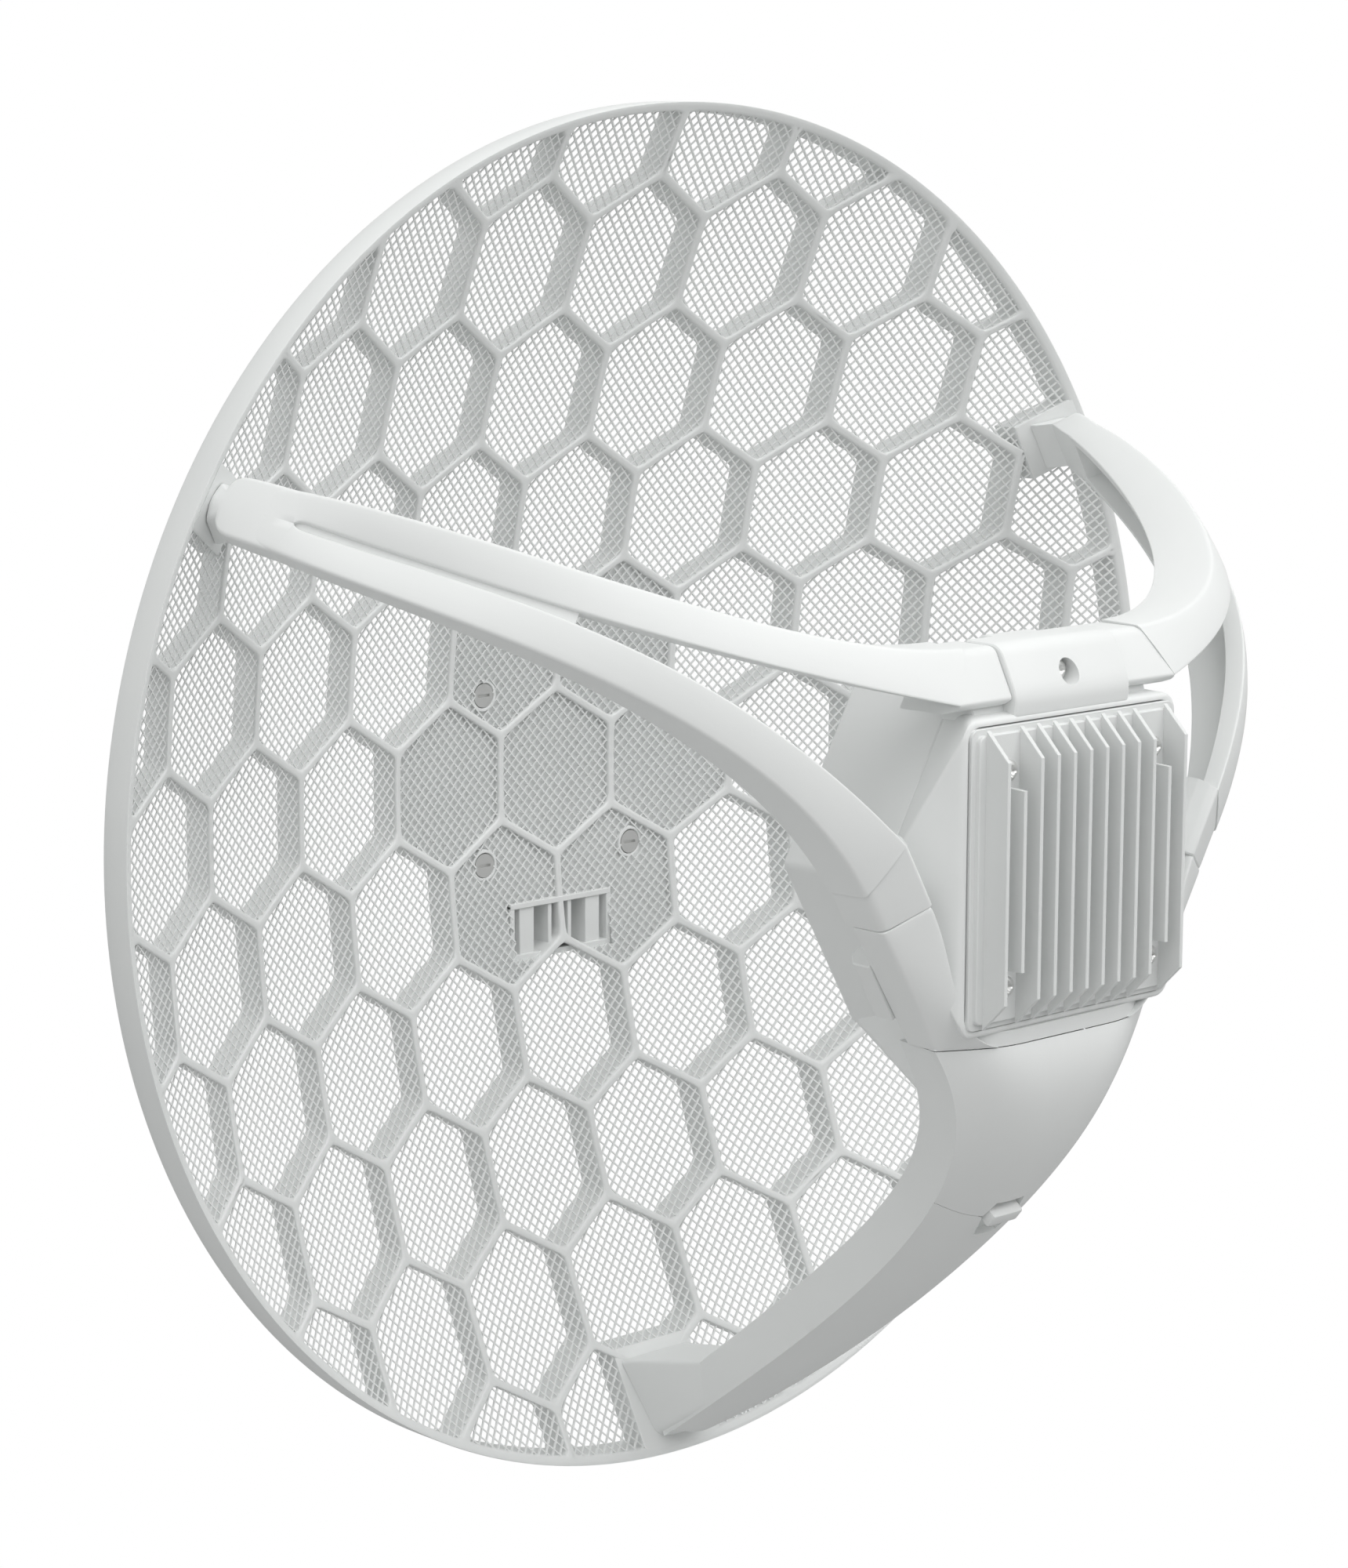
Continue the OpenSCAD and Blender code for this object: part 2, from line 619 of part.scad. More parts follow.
// ---- electronics ----
jack_low = door_top + jack_l;
port_y = door_top + 7.4;            // where the lights and the reset switch end, behind the door
module main_board() {
    color("darkgreen") bar(board_z, board_front) difference() {
        union() {
            hexagon(board_w);
            translate([-tongue_w / 2, -jack_low]) square([tongue_w, jack_low - 20]);
        }
        four(post_x, post_x) circle(d = 2.5 + 2 * fit);
    }
}
module processor() { color("dimgray") bar(board_front, board_front + chip_t) translate([0, frame_y]) square(chip_w, center = true); }
module thermal_pad() {
    color("lightblue") bar(board_front + chip_t, board_front + chip_t + pad_t) translate([0, frame_y])
        square(chip_w + 3, center = true);
}
module shield_can() { color("silver") bar(board_z - 3.6, board_z) translate([0, 4]) rounded(30, 24, 1.5); }
module antenna_plate() { color("khaki") bar(plate_z, plate_z + plate_t) hexagon(board_w + 2); }
module antenna_patch() {
    color("goldenrod") {
        bar(plate_z - 4, plate_z - 3.2) square(26, center = true);
        bar(plate_z - 3.2, plate_z) circle(d = 3);
    }
}
module antenna_posts() {
    color("silver") four(post_x, post_x) bar(plate_z + plate_t, board_z) difference() {
        circle(d = post_d);
        circle(d = 2.5 + 2 * fit);
    }
}
module board_screws() {
    color("silver") four(post_x, post_x) {
        bar(board_z - 7, board_front) circle(d = 2.5);
        bar(board_front, board_front + 1.8) circle(d = 4.6);
    }
}
module ethernet_jack() {
    color("silver") difference() {
        bar(board_front, board_front + jack_h) translate([-jack_w / 2, -jack_low]) square([jack_w, jack_l]);
        bar(board_front + 2, board_front + 9) translate([-5.9, -jack_low - 1]) square([11.8, jack_l - 1.5]);
        bar(board_front + 8.9, board_front + 10.2) translate([-3, -jack_low - 1]) square([6, jack_l - 3]);
    }
}
switch_x = 15;
button_z = board_front + 2.6;
button_d = 3;
module reset_switch() {
    color("dimgray") difference() {
        bar(board_front, board_front + 5.2) translate([switch_x - 3, -port_y - 2]) square([6, 6]);
        translate([switch_x, 2 - port_y, button_z]) rotate([90, 0, 0]) cylinder(d = button_d + 2 * slide_fit, h = 10);
    }
}
module reset_button() {
    color("tomato") translate([switch_x, 0.5 - port_y, button_z]) rotate([90, 0, 0]) cylinder(d = button_d, h = 5.5);
}
module light_guide() {
    color("lightcyan") {
        bar(board_front, board_front + 4) translate([-19.5, -port_y]) square([9, 4]);
        for (i = [0:2]) translate([-18 + 3 * i, 0.1 - port_y, board_front + 2]) rotate([90, 0, 0]) cylinder(d = 1.8, h = 3);
    }
}

placed() reflector();
placed() pole_bracket();
placed() bracket_screws();
placed() arm_left();
placed() arm_right();
placed() arm_bottom();
placed() rear_housing();
placed() front_housing();
placed() housing_seal();
placed() crown_screw();
placed() heat_sink();
placed() heat_sink_screws();
placed() thermal_pad();
placed() main_board();
placed() processor();
placed() shield_can();
placed() antenna_plate();
placed() antenna_patch();
placed() antenna_posts();
placed() board_screws();
placed() ethernet_jack();
placed() reset_switch();
placed() reset_button();
placed() light_guide();
placed() port_door();
placed() door_latch();
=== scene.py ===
import math

import bmesh
import bpy
import numpy as np
from mathutils import Matrix, Vector


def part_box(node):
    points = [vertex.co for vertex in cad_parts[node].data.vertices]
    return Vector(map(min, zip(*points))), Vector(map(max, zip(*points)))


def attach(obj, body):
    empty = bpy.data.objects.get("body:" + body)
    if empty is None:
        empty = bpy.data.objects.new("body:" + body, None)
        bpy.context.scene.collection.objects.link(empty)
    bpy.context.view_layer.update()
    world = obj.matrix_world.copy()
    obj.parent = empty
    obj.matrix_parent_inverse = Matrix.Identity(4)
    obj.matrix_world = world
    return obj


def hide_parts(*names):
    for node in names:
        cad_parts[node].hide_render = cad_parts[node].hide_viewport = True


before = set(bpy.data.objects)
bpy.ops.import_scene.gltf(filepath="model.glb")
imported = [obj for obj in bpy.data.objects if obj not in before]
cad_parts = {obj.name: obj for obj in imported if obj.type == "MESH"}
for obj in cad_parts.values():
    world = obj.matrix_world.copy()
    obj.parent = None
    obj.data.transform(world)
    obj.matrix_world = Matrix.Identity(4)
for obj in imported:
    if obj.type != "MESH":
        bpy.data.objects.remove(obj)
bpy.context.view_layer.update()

# ---- Studio ----
# A plain pale floor lies well below the dish, which hangs on its pole. One large soft lamp is above and in
# front, and a weaker one is at each side. What is behind the object is plain white.
floor_height = -0.62
floor_half = 6
view_azimuth = math.radians(-43.037)
view_elevation = math.radians(9.818)
view_roll = math.radians(0.161)
camera_place = Vector((-0.7708, -0.9049, 0.1977))
lens_mm = 91.65
head_place = Vector((0, -0.15, 0))

back = Vector((math.sin(view_azimuth) * math.cos(view_elevation),
               -math.cos(view_azimuth) * math.cos(view_elevation), math.sin(view_elevation)))
across = Vector((math.cos(view_azimuth), math.sin(view_azimuth), 0))
upward = back.cross(across)
right = across * math.cos(view_roll) + upward * math.sin(view_roll)
up = upward * math.cos(view_roll) - across * math.sin(view_roll)

camera_data = bpy.data.cameras.new("camera")
camera_data.lens = lens_mm
camera_data.sensor_width = 36
camera_data.clip_start = 0.05
camera_data.clip_end = 60
camera = bpy.data.objects.new("camera", camera_data)
camera.matrix_world = Matrix((right, up, back)).transposed().to_4x4()
camera.location = camera_place
bpy.context.scene.collection.objects.link(camera)
bpy.context.scene.camera = camera
bpy.context.scene.view_settings.view_transform = "Standard"


def soft_lamp(name, place, width, height, watts):
    """Rectangular area lamp at place that faces the router's head."""
    data = bpy.data.lights.new(name, "AREA")
    data.shape = "RECTANGLE"
    data.size = width
    data.size_y = height
    data.energy = watts
    lamp = bpy.data.objects.new(name, data)
    lamp.location = place
    lamp.rotation_euler = (head_place - Vector(place)).to_track_quat("-Z", "Y").to_euler()
    bpy.context.scene.collection.objects.link(lamp)


soft_lamp("lamp_top", (0.2, -1.3, 1.5), 2.4, 2.0, 29)
soft_lamp("lamp_right", (1.9, -0.9, 0.7), 1.2, 1.6, 1.5)
soft_lamp("lamp_left", (-2.0, -0.8, 0.9), 1.4, 1.6, 8)


def add_node(tree, kind, inputs=(), **settings):
    """New shader node of a kind, with its settings and the values of its inputs."""
    node = tree.nodes.new("ShaderNode" + kind)
    for key, value in settings.items():
        setattr(node, key, value)
    for key, value in dict(inputs).items():
        node.inputs[key].default_value = value
    return node


def white_to_camera(tree, lit, white, surface):
    """Mixes two shaders by Light Path: the camera sees the white one, and all other rays meet the lit one."""
    mix = add_node(tree, "MixShader")
    tree.links.new(add_node(tree, "LightPath").outputs["Is Camera Ray"], mix.inputs["Fac"])
    tree.links.new(lit, mix.inputs[1])
    tree.links.new(white, mix.inputs[2])
    tree.links.new(mix.outputs["Shader"], surface)


# The room's light is strongest from behind, from above and from the right, and falls off towards the front
world = bpy.data.worlds.new("studio")
world.use_nodes = True
bpy.context.scene.world = world
tree = world.node_tree
shade = tree.nodes["Background"]
shade.inputs["Color"].default_value = (0.985, 1, 0.99, 1)
toward = add_node(tree, "VectorMath", {1: (0.38, 0.85, 0.28)}, operation="DOT_PRODUCT")
fall = add_node(tree, "MapRange", {"From Min": -0.5, "From Max": 0.7, "To Min": 0.42, "To Max": 0.8})
tree.links.new(add_node(tree, "TexCoord").outputs["Generated"], toward.inputs[0])
tree.links.new(toward.outputs["Value"], fall.inputs["Value"])
tree.links.new(fall.outputs["Result"], shade.inputs["Strength"])
white = add_node(tree, "Background", {"Color": (1, 1, 1, 1)})
white_to_camera(tree, shade.outputs["Background"], white.outputs["Background"],
                tree.nodes["World Output"].inputs["Surface"])

floor_mesh = bpy.data.meshes.new("floor")
corners = [(x * floor_half, y * floor_half, floor_height) for x, y in ((-1, -1), (1, -1), (1, 1), (-1, 1))]
floor_mesh.from_pydata(corners, [], [(0, 1, 2, 3)])
floor = bpy.data.objects.new("floor", floor_mesh)
bpy.context.scene.collection.objects.link(floor)
paper = bpy.data.materials.new("white_paper")
paper.use_nodes = True
tree = paper.node_tree
matt = tree.nodes["Principled BSDF"]
matt.inputs["Base Color"].default_value = (0.45, 0.45, 0.45, 1)
matt.inputs["Roughness"].default_value = 0.9
glow = add_node(tree, "Emission", {"Color": (1, 1, 1, 1)})
white_to_camera(tree, matt.outputs["BSDF"], glow.outputs["Emission"],
                tree.nodes["Material Output"].inputs["Surface"])
floor_mesh.materials.append(paper)


# ---- Reflector: honeycomb ribs ----
# The dish is one casting with a fine satin powder coat. Hexagonal ribs with rounded edges carry a fine square
# mesh and end in a round rim.
def make_coat_grain():
    """Node group: a colour shifted a little by large soft patches, and a height of fine even grain."""
    group = bpy.data.node_groups.new("coat_grain", "ShaderNodeTree")
    for name, kind in (("Color", "NodeSocketColor"), ("Patches", "NodeSocketFloat"),
                       ("Grain Size", "NodeSocketFloat")):
        group.interface.new_socket(name, in_out="INPUT", socket_type=kind)
    group.interface.new_socket("Color", in_out="OUTPUT", socket_type="NodeSocketColor")
    group.interface.new_socket("Height", in_out="OUTPUT", socket_type="NodeSocketFloat")
    outer, inner = group.nodes.new("NodeGroupInput"), group.nodes.new("NodeGroupOutput")
    place = add_node(group, "TexCoord")
    patches = add_node(group, "TexNoise", {"Scale": 28, "Detail": 3})
    spread = add_node(group, "MapRange", {"From Min": 0.3, "From Max": 0.7})
    depth = add_node(group, "Math", operation="MULTIPLY")
    darker = add_node(group, "Mix", {7: (0.86, 0.87, 0.87, 1)}, data_type="RGBA", blend_type="MULTIPLY")
    grain = add_node(group, "TexNoise", {"Detail": 2})
    links = group.links
    links.new(place.outputs["Object"], patches.inputs["Vector"])
    links.new(place.outputs["Object"], grain.inputs["Vector"])
    links.new(outer.outputs["Grain Size"], grain.inputs["Scale"])
    links.new(patches.outputs["Fac"], spread.inputs["Value"])
    links.new(spread.outputs["Result"], depth.inputs[0])
    links.new(outer.outputs["Patches"], depth.inputs[1])
    links.new(depth.outputs["Value"], darker.inputs[0])
    links.new(outer.outputs["Color"], darker.inputs[6])
    links.new(darker.outputs[2], inner.inputs["Color"])
    links.new(grain.outputs["Fac"], inner.inputs["Height"])
    return group


coat_grain = make_coat_grain()


def coated(name, color, roughness, patches, grain, bump, metallic=0.0, coat=0.0):
    """Material with the shared grain: colour, roughness, depth of patches, grain scale and bump in metres."""
    material = bpy.data.materials.new(name)
    material.use_nodes = True
    tree = material.node_tree
    shader = tree.nodes["Principled BSDF"]
    shader.inputs["Roughness"].default_value = roughness
    shader.inputs["Metallic"].default_value = metallic
    shader.inputs["Coat Weight"].default_value = coat
    values = {"Color": (*color, 1), "Patches": patches, "Grain Size": grain}
    group = add_node(tree, "Group", values, node_tree=coat_grain)
    relief = add_node(tree, "Bump", {"Strength": 1, "Distance": bump})
    tree.links.new(group.outputs["Color"], shader.inputs["Base Color"])
    tree.links.new(group.outputs["Height"], relief.inputs["Height"])
    tree.links.new(relief.outputs["Normal"], shader.inputs["Normal"])
    return material


casting = coated("satin_powder_coat", (0.80, 0.81, 0.805), 0.42, 0.25, 2600, 0.00002, coat=0.15)


def new_piece(name, verts, quads, body, material, node, sharp, weld, ends=()):
    """Mesh object from vertices (row frame, metres), quads and end loops, smooth below the sharp angle. It
    rides on a body and stands for a node, whose own mesh it hides."""
    mesh = bpy.data.meshes.new(name)
    corners = np.concatenate([np.ravel(quads), *ends]).astype(np.int32)
    sizes = np.array([4] * len(quads) + [len(e) for e in ends], np.int32)
    mesh.vertices.add(len(verts))
    mesh.vertices.foreach_set("co", np.ascontiguousarray(verts, np.float32).ravel())
    mesh.loops.add(len(corners))
    mesh.loops.foreach_set("vertex_index", corners)
    mesh.polygons.add(len(sizes))
    mesh.polygons.foreach_set("loop_start", np.concatenate([[0], np.cumsum(sizes)[:-1]]).astype(np.int32))
    mesh.update(calc_edges=True)
    mesh.validate()
    if weld:
        joined = bmesh.new()
        joined.from_mesh(mesh)
        bmesh.ops.remove_doubles(joined, verts=joined.verts, dist=weld)
        bmesh.ops.dissolve_degenerate(joined, edges=joined.edges, dist=weld)
        bmesh.ops.recalc_face_normals(joined, faces=joined.faces)
        joined.to_mesh(mesh)
        joined.free()
    mesh.materials.append(material)
    mesh.shade_smooth()
    mesh.set_sharp_from_angle(angle=math.radians(sharp))
    piece = bpy.data.objects.new(name, mesh)
    bpy.context.scene.collection.objects.link(piece)
    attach(piece, body)
    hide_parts(node)
    return piece


def cast_piece(name, verts, quads, sharp=40, weld=0.0):
    """Piece of the dish's casting."""
    return new_piece(name, verts, quads, "router", casting, "reflector", sharp, weld)


dish_low, dish_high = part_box("reflector")
dish_r = (dish_high.x - dish_low.x) * 500
pole_off = 28.0
focal = 165.0
cell_w = 43.4
rib_half = 1.15
rib_h = 10.5
rib_end = 1.4
rib_bend = 1.3
rim_w = 2.6
rear_z = -6


def bowl(r):
    """Depth of the paraboloid in mm: the squared radius over four focal lengths."""
    return r * r / (4 * focal)


def upright(x, y, z):
    """From across, up and along the beam, in mm, to the row frame in metres."""
    return np.stack(np.broadcast_arrays(x, -(z + pole_off), y), -1) / 1000


def circle(steps):
    """Cosines and sines of evenly spaced directions all round."""
    angle = np.arange(steps) * math.pi / (steps // 2)
    return np.stack([np.cos(angle), np.sin(angle)], -1)


def loop_quads(rows, count, closed_rows=False, closed_loop=True):
    """Quads between the rows of a grid of vertices, each row a loop of count vertices."""
    i = np.arange(rows if closed_rows else rows - 1)[:, None]
    j = np.arange(count if closed_loop else count - 1)[None, :]
    k, l = (i + 1) % rows, (j + 1) % count
    return np.stack([i * count + j, i * count + l, k * count + l, k * count + j], -1).reshape(-1, 4)


# Cells in rows, every second row shifted by half a cell, those at the rim cut by it; heart is a place inside
# what is left of each
rows = np.arange(-6, 7)
grid_i, grid_j = np.meshgrid(rows, rows)
cells = np.stack([(grid_i + (np.abs(grid_j) % 2) / 2) * cell_w, grid_j * cell_w * math.sqrt(3) / 2], -1)
cells = cells.reshape(-1, 2)
cells = cells[np.hypot(*cells.T) < dish_r + 0.42 * cell_w]
far = np.hypot(*cells.T)
whole = far + cell_w / math.sqrt(3) < dish_r - rib_end
inner_edge = np.maximum(far - cell_w / 2, 0)
outer_edge = np.minimum(far + cell_w / 2, dish_r - rim_w)
heart = np.where(whole[:, None], cells, cells * ((inner_edge + outer_edge) / 2 / np.maximum(far, 1))[:, None])


def room(place, centre, inset, bend):
    """How far a place lies inside a cell that is cut by the rim, with corners rounded by bend: bend less the
    length of what is missing from bend at each of the six sides and at the rim."""
    sides = circle(6)
    offset = place - centre
    along_sides = offset[..., :1] * sides[:, 0] + offset[..., 1:] * sides[:, 1]
    rim = dish_r - rib_end - 1.05 * inset - np.hypot(place[..., 0], place[..., 1])
    near = np.concatenate([cell_w / 2 - inset[..., None] - along_sides, rim[..., None]], -1)
    return bend - np.linalg.norm(np.maximum(bend[..., None] - near, 0), axis=-1)


# Section of a cell's frame, from its middle line at the front round the opening to the rear: inset, depth
rib_section = np.array([[-0.03, 0.0], [0.35, 0.0], [0.75, 0.06], [1.0, 0.25], [rib_half - 0.02, 0.6],
                        [rib_half, 1.2], [rib_half, rib_h - 0.6], [1.0, rib_h - 0.15], [0.7, rib_h],
                        [-0.03, rib_h]])
overlap = rib_section[0, 0]
ray = circle(72)
opens = room(heart, cells, np.full(len(cells), rib_half), np.full(len(cells), 0.4)) > 0.35
cells, heart, whole = cells[opens], heart[opens], whole[opens]
inset = np.where((rib_section[:, 0] < 0)[None, :] & ~whole[:, None], -0.35, rib_section[None, :, 0])
bend = np.clip(rib_bend * (inset - overlap) / (rib_half - overlap), 0.02, rib_bend)
near_end = np.zeros((len(cells), len(rib_section), len(ray)))
far_end = np.full_like(near_end, 30.0)
inset, bend = (np.broadcast_to(value[..., None], near_end.shape) for value in (inset, bend))
for _ in range(26):
    middle = (near_end + far_end) / 2
    place = heart[:, None, None, :] + middle[..., None] * ray
    in_cell = room(place, cells[:, None, None, :], inset, bend) > 0
    near_end, far_end = np.where(in_cell, middle, near_end), np.where(in_cell, far_end, middle)
place = heart[:, None, None, :] + near_end[..., None] * ray
height = bowl(np.hypot(place[..., 0], place[..., 1])) - rib_section[None, :, 1, None]
ribs = upright(place[..., 0], place[..., 1], np.maximum(height, rear_z)).reshape(-1, 3)
one_frame = loop_quads(len(rib_section), len(ray), closed_rows=True)
first_vertex = np.arange(len(cells)) * len(rib_section) * len(ray)
quads = (one_frame[None] + first_vertex[:, None, None]).reshape(-1, 4)
cast_piece("reflector_ribs", ribs, quads[:, ::-1], sharp=50)

# ---- Reflector: rim ----
# A narrow band all round the dish, cast with the ribs, with softly rounded lips. Its front follows the bowl
# and its rear is level.
rim_section = np.array([[rim_w, -0.9], [rim_w - 0.1, -0.35], [rim_w - 0.45, -0.05], [0.6, 0.0], [0.15, -0.2],
                        [0.0, -0.65], [0.0, 0.6 - rib_h], [0.2, 0.15 - rib_h], [0.6, -rib_h],
                        [rim_w - 0.4, -rib_h], [rim_w, 0.4 - rib_h]])
turn = circle(288)
rim_r = dish_r - rim_section[:, 0]
rim_z = bowl(rim_r) + rim_section[:, 1]
rim_z[6:] = bowl(dish_r) + rim_section[6:, 1]
rim = upright(rim_r[:, None] * turn[:, 0], rim_r[:, None] * turn[:, 1], rim_z[:, None]).reshape(-1, 3)
cast_piece("reflector_rim", rim, loop_quads(len(rim_section), len(turn), closed_rows=True), 50, 1e-6)

# ---- Reflector: mesh ----
# Thin bars cross at right angles on the diagonals, a little behind the rib fronts. They are cast with the
# ribs and leave room for the bosses and the strap's frame. Each quarter is a piece.
mesh_pitch = 2.4
mesh_bar = 0.42
mesh_set = 0.8
mesh_t = 0.5
boss_x, boss_y = 28.75, 25.15
slot_y = 46.5
four_corners = ((-1, -1), (1, -1), (-1, 1), (1, 1))


def clear_of_fittings(x, y):
    """Whether places lie outside the four bosses and outside the frame of the strap's slots."""
    clear = (np.abs(x) > 19.5) | (np.abs(y + slot_y) > 8.2)
    for side_x, side_y in four_corners:
        clear &= np.hypot(x - side_x * boss_x, y - side_y * boss_y) > 4.2
    return clear


def plate(name, lines, keep, place_of, front_set, thick):
    """Closed plate from the kept cells of a grid: place_of turns grid lines into across and up, its front is
    front_set behind the bowl, its back thick behind that, and a wall closes each edge of the kept cells."""
    a, b = np.meshgrid(lines, lines, indexing="ij")
    x, y = place_of(a, b)
    z = bowl(np.hypot(x, y)) - front_set
    verts = np.concatenate([upright(x, y, z).reshape(-1, 3), upright(x, y, z - thick).reshape(-1, 3)])
    count, back_side = len(lines), a.size
    i, j = np.nonzero(keep)
    c00, c01, c10, c11 = i * count + j, i * count + j + 1, (i + 1) * count + j, (i + 1) * count + j + 1
    faces = [np.stack([c00, c10, c11, c01], -1), np.stack([c00, c01, c11, c10], -1) + back_side]
    border = np.pad(keep, 1)
    for di, dj, p, q in ((-1, 0, c01, c00), (1, 0, c10, c11), (0, -1, c00, c10), (0, 1, c11, c01)):
        free = ~border[i + 1 + di, j + 1 + dj]
        p, q = p[free], q[free]
        faces.append(np.stack([q, p, p + back_side, q + back_side], -1))
    used, index = np.unique(np.concatenate(faces), return_inverse=True)
    cast_piece(name, verts[used], index.reshape(-1, 4), sharp=30)


def diagonal(a, b):
    """Turns the mesh's own directions by 45 degrees and keeps its outer ends inside the rim."""
    x, y = (a - b) / math.sqrt(2), (a + b) / math.sqrt(2)
    shrink = np.minimum(1, (dish_r - 1.2) / np.maximum(np.hypot(x, y), 1))
    return x * shrink, y * shrink


bar_middles = np.arange(-82, 83) * mesh_pitch
lines = np.sort(np.concatenate([bar_middles - mesh_bar / 2, bar_middles + mesh_bar / 2]))
middles = (lines[1:] + lines[:-1]) / 2
is_bar = np.diff(lines) < mesh_pitch / 2
mid_a, mid_b = np.meshgrid(middles, middles, indexing="ij")
mid_x, mid_y = (mid_a - mid_b) / math.sqrt(2), (mid_a + mid_b) / math.sqrt(2)
bars = (is_bar[:, None] | is_bar[None, :]) & (np.hypot(mid_x, mid_y) < dish_r - 1.6)
bars &= clear_of_fittings(mid_x, mid_y)
for quarter, (beyond_a, beyond_b) in enumerate(((False, False), (False, True), (True, False), (True, True))):
    part = bars & ((mid_a > 0) == beyond_a) & ((mid_b > 0) == beyond_b)
    plate(f"reflector_mesh_{quarter + 1}", lines, part, diagonal, mesh_set, mesh_t)

# ---- Reflector: closed middle ----
# The seven cells in the middle have a solid web behind the mesh, cast with it. Four round bosses take the
# bracket's screws, and a small frame below the middle has the slots for a strap.
web_set = mesh_set + mesh_t + 0.6
web_t = 1.6
web_lines = np.arange(-68, 69) * 1.0
web_mid = (web_lines[1:] + web_lines[:-1]) / 2
web_x, web_y = np.meshgrid(web_mid, web_mid, indexing="ij")
middle_cells = np.concatenate([[[0, 0]], circle(6)]) * cell_w
sides = circle(6)[:3]
offset = np.stack([web_x, web_y], -1)[:, :, None] - middle_cells
reach = np.abs(offset[..., :1] * sides[:, 0] + offset[..., 1:] * sides[:, 1]).max(-1)
in_web = (reach < cell_w / 2).any(-1) & clear_of_fittings(web_x, web_y)
plate("reflector_web", web_lines, in_web, lambda a, b: (a, b), web_set, web_t)

boss_front = bowl(math.hypot(boss_x, boss_y)) - 1
boss_section = np.array([[4.8, -7.5], [4.8, -0.5], [4.6, -0.12], [4.2, 0.0], [3.95, -0.05], [3.75, -0.3],
                         [3.7, -2.0], [2.1, -2.0], [2.1, -7.5]])
turn = circle(48)
for number, (side_x, side_y) in enumerate(four_corners):
    r, z = boss_section[:, :1], boss_front + boss_section[:, 1:]
    ring = upright(side_x * boss_x + r * turn[:, 0], side_y * boss_y + r * turn[:, 1], z).reshape(-1, 3)
    quads = loop_quads(len(boss_section), len(turn), closed_rows=True)
    cast_piece(f"reflector_boss_{number + 1}", ring, quads, weld=1e-7)


def slot_wall(name, x0, x1, y0, y1, top):
    """Wall of the strap's frame: a block from the dish's back to top, with bevelled edges, all in mm."""
    x, y, z = np.meshgrid([x0, x1], [y0, y1], [rear_z + 0.1, top], indexing="ij")
    quads = np.array([[0, 1, 3, 2], [4, 6, 7, 5], [0, 4, 5, 1], [2, 3, 7, 6], [0, 2, 6, 4], [1, 5, 7, 3]])
    wall = cast_piece(f"reflector_slot_wall_{name}", upright(x, y, z).reshape(-1, 3), quads, weld=1e-7)
    edges = wall.modifiers.new("edges", "BEVEL")
    edges.width = 0.00025
    edges.segments = 3


slot_front = bowl(slot_y)
slot_low, slot_high = -slot_y - 8.6, -slot_y + 8.6
slot_end, wall_t = 19.8, 1.7
for name, x0, x1, lower in (("a", -slot_end, -18.2, 1.0), ("b", -15.8, -10.2, 1.6), ("c", -4.6, -3.2, 1.6),
                            ("d", 3.2, 4.6, 1.6), ("e", 10.2, 15.8, 1.6), ("f", 18.2, slot_end, 1.0)):
    slot_wall(name, x0, x1, slot_low + 0.6, slot_high - 0.6, slot_front - lower)
slot_wall("lower", -slot_end, slot_end, slot_low, slot_low + wall_t, slot_front - 0.9)
slot_wall("upper", -slot_end, slot_end, slot_high - wall_t, slot_high, slot_front - 0.9)


# ---- Reflector: pads ----
# Three raised pads near the rim are cast with the dish. An arm stands on each, and the bottom one is wider
# for the cable's channel.
foot_out = dish_r - 4.5
foot_in = foot_out - 26
foot_l = 11
foot_half, heel_half, pad_edge = 8, 13.5, 1.5


def foot_seat(u):
    """Height of the pads: a straight line between two places on the bowl, a little above it."""
    return 0.3 + bowl(foot_in) + (bowl(foot_out) - bowl(foot_in)) * (u - foot_in) / (foot_out - foot_in)


def turned(points, degrees):
    """Points turned about the beam's axis."""
    c, s = math.cos(math.radians(degrees)), math.sin(math.radians(degrees))
    x, y, z = np.moveaxis(points, -1, 0)
    return np.stack([x * c - y * s, x * s + y * c, z], -1)


def loft(name, loops, material, node, sharp=35, body="router"):
    """Skin through loops of equal count, in the beam frame, with a flat face at each end."""
    rows, count = loops.shape[:2]
    ends = [np.arange(count), np.arange(count) + (rows - 1) * count]
    verts = upright(*np.moveaxis(loops, -1, 0)).reshape(-1, 3)
    return new_piece(name, verts, loop_quads(rows, count), body, material, node, sharp, 1e-7, ends)


side_pad = (foot_half + pad_edge, foot_out - foot_l - 4)
pads = ((150, *side_pad), (30, *side_pad), (270, heel_half + pad_edge, foot_in + 1))
for number, (degrees, half, u0) in enumerate(pads):
    u1 = dish_r - 2
    ends = np.array([[u0, -half], [u1, -half], [u1, half], [u0, half]])
    pad = np.stack([np.column_stack([ends, foot_seat(ends[:, 0]) - drop]) for drop in (9, 0.5, 0.0)])
    pad[2] *= [1, (half - 0.5) / half, 1]
    pad[2, [0, 3], 0] += 0.5
    loft(f"reflector_pad_{number + 1}", turned(pad, degrees), casting, "reflector")


# ---- Side arms ----
# Each side arm is a moulded plastic channel that stands on a closed foot, runs as two branches with a narrow
# groove between them and then parts, so that the branches of neighbouring arms meet as hoops around the head.
def moulded(name, color, roughness, grain, bump):
    """Moulded plastic: soft patches of tone, fine spark texture and a faint sheen."""
    return coated(name, color, roughness, 0.12, grain, bump, coat=0.05)


shell = moulded("moulded_white", (0.82, 0.83, 0.825), 0.48, 3800, 0.000012)


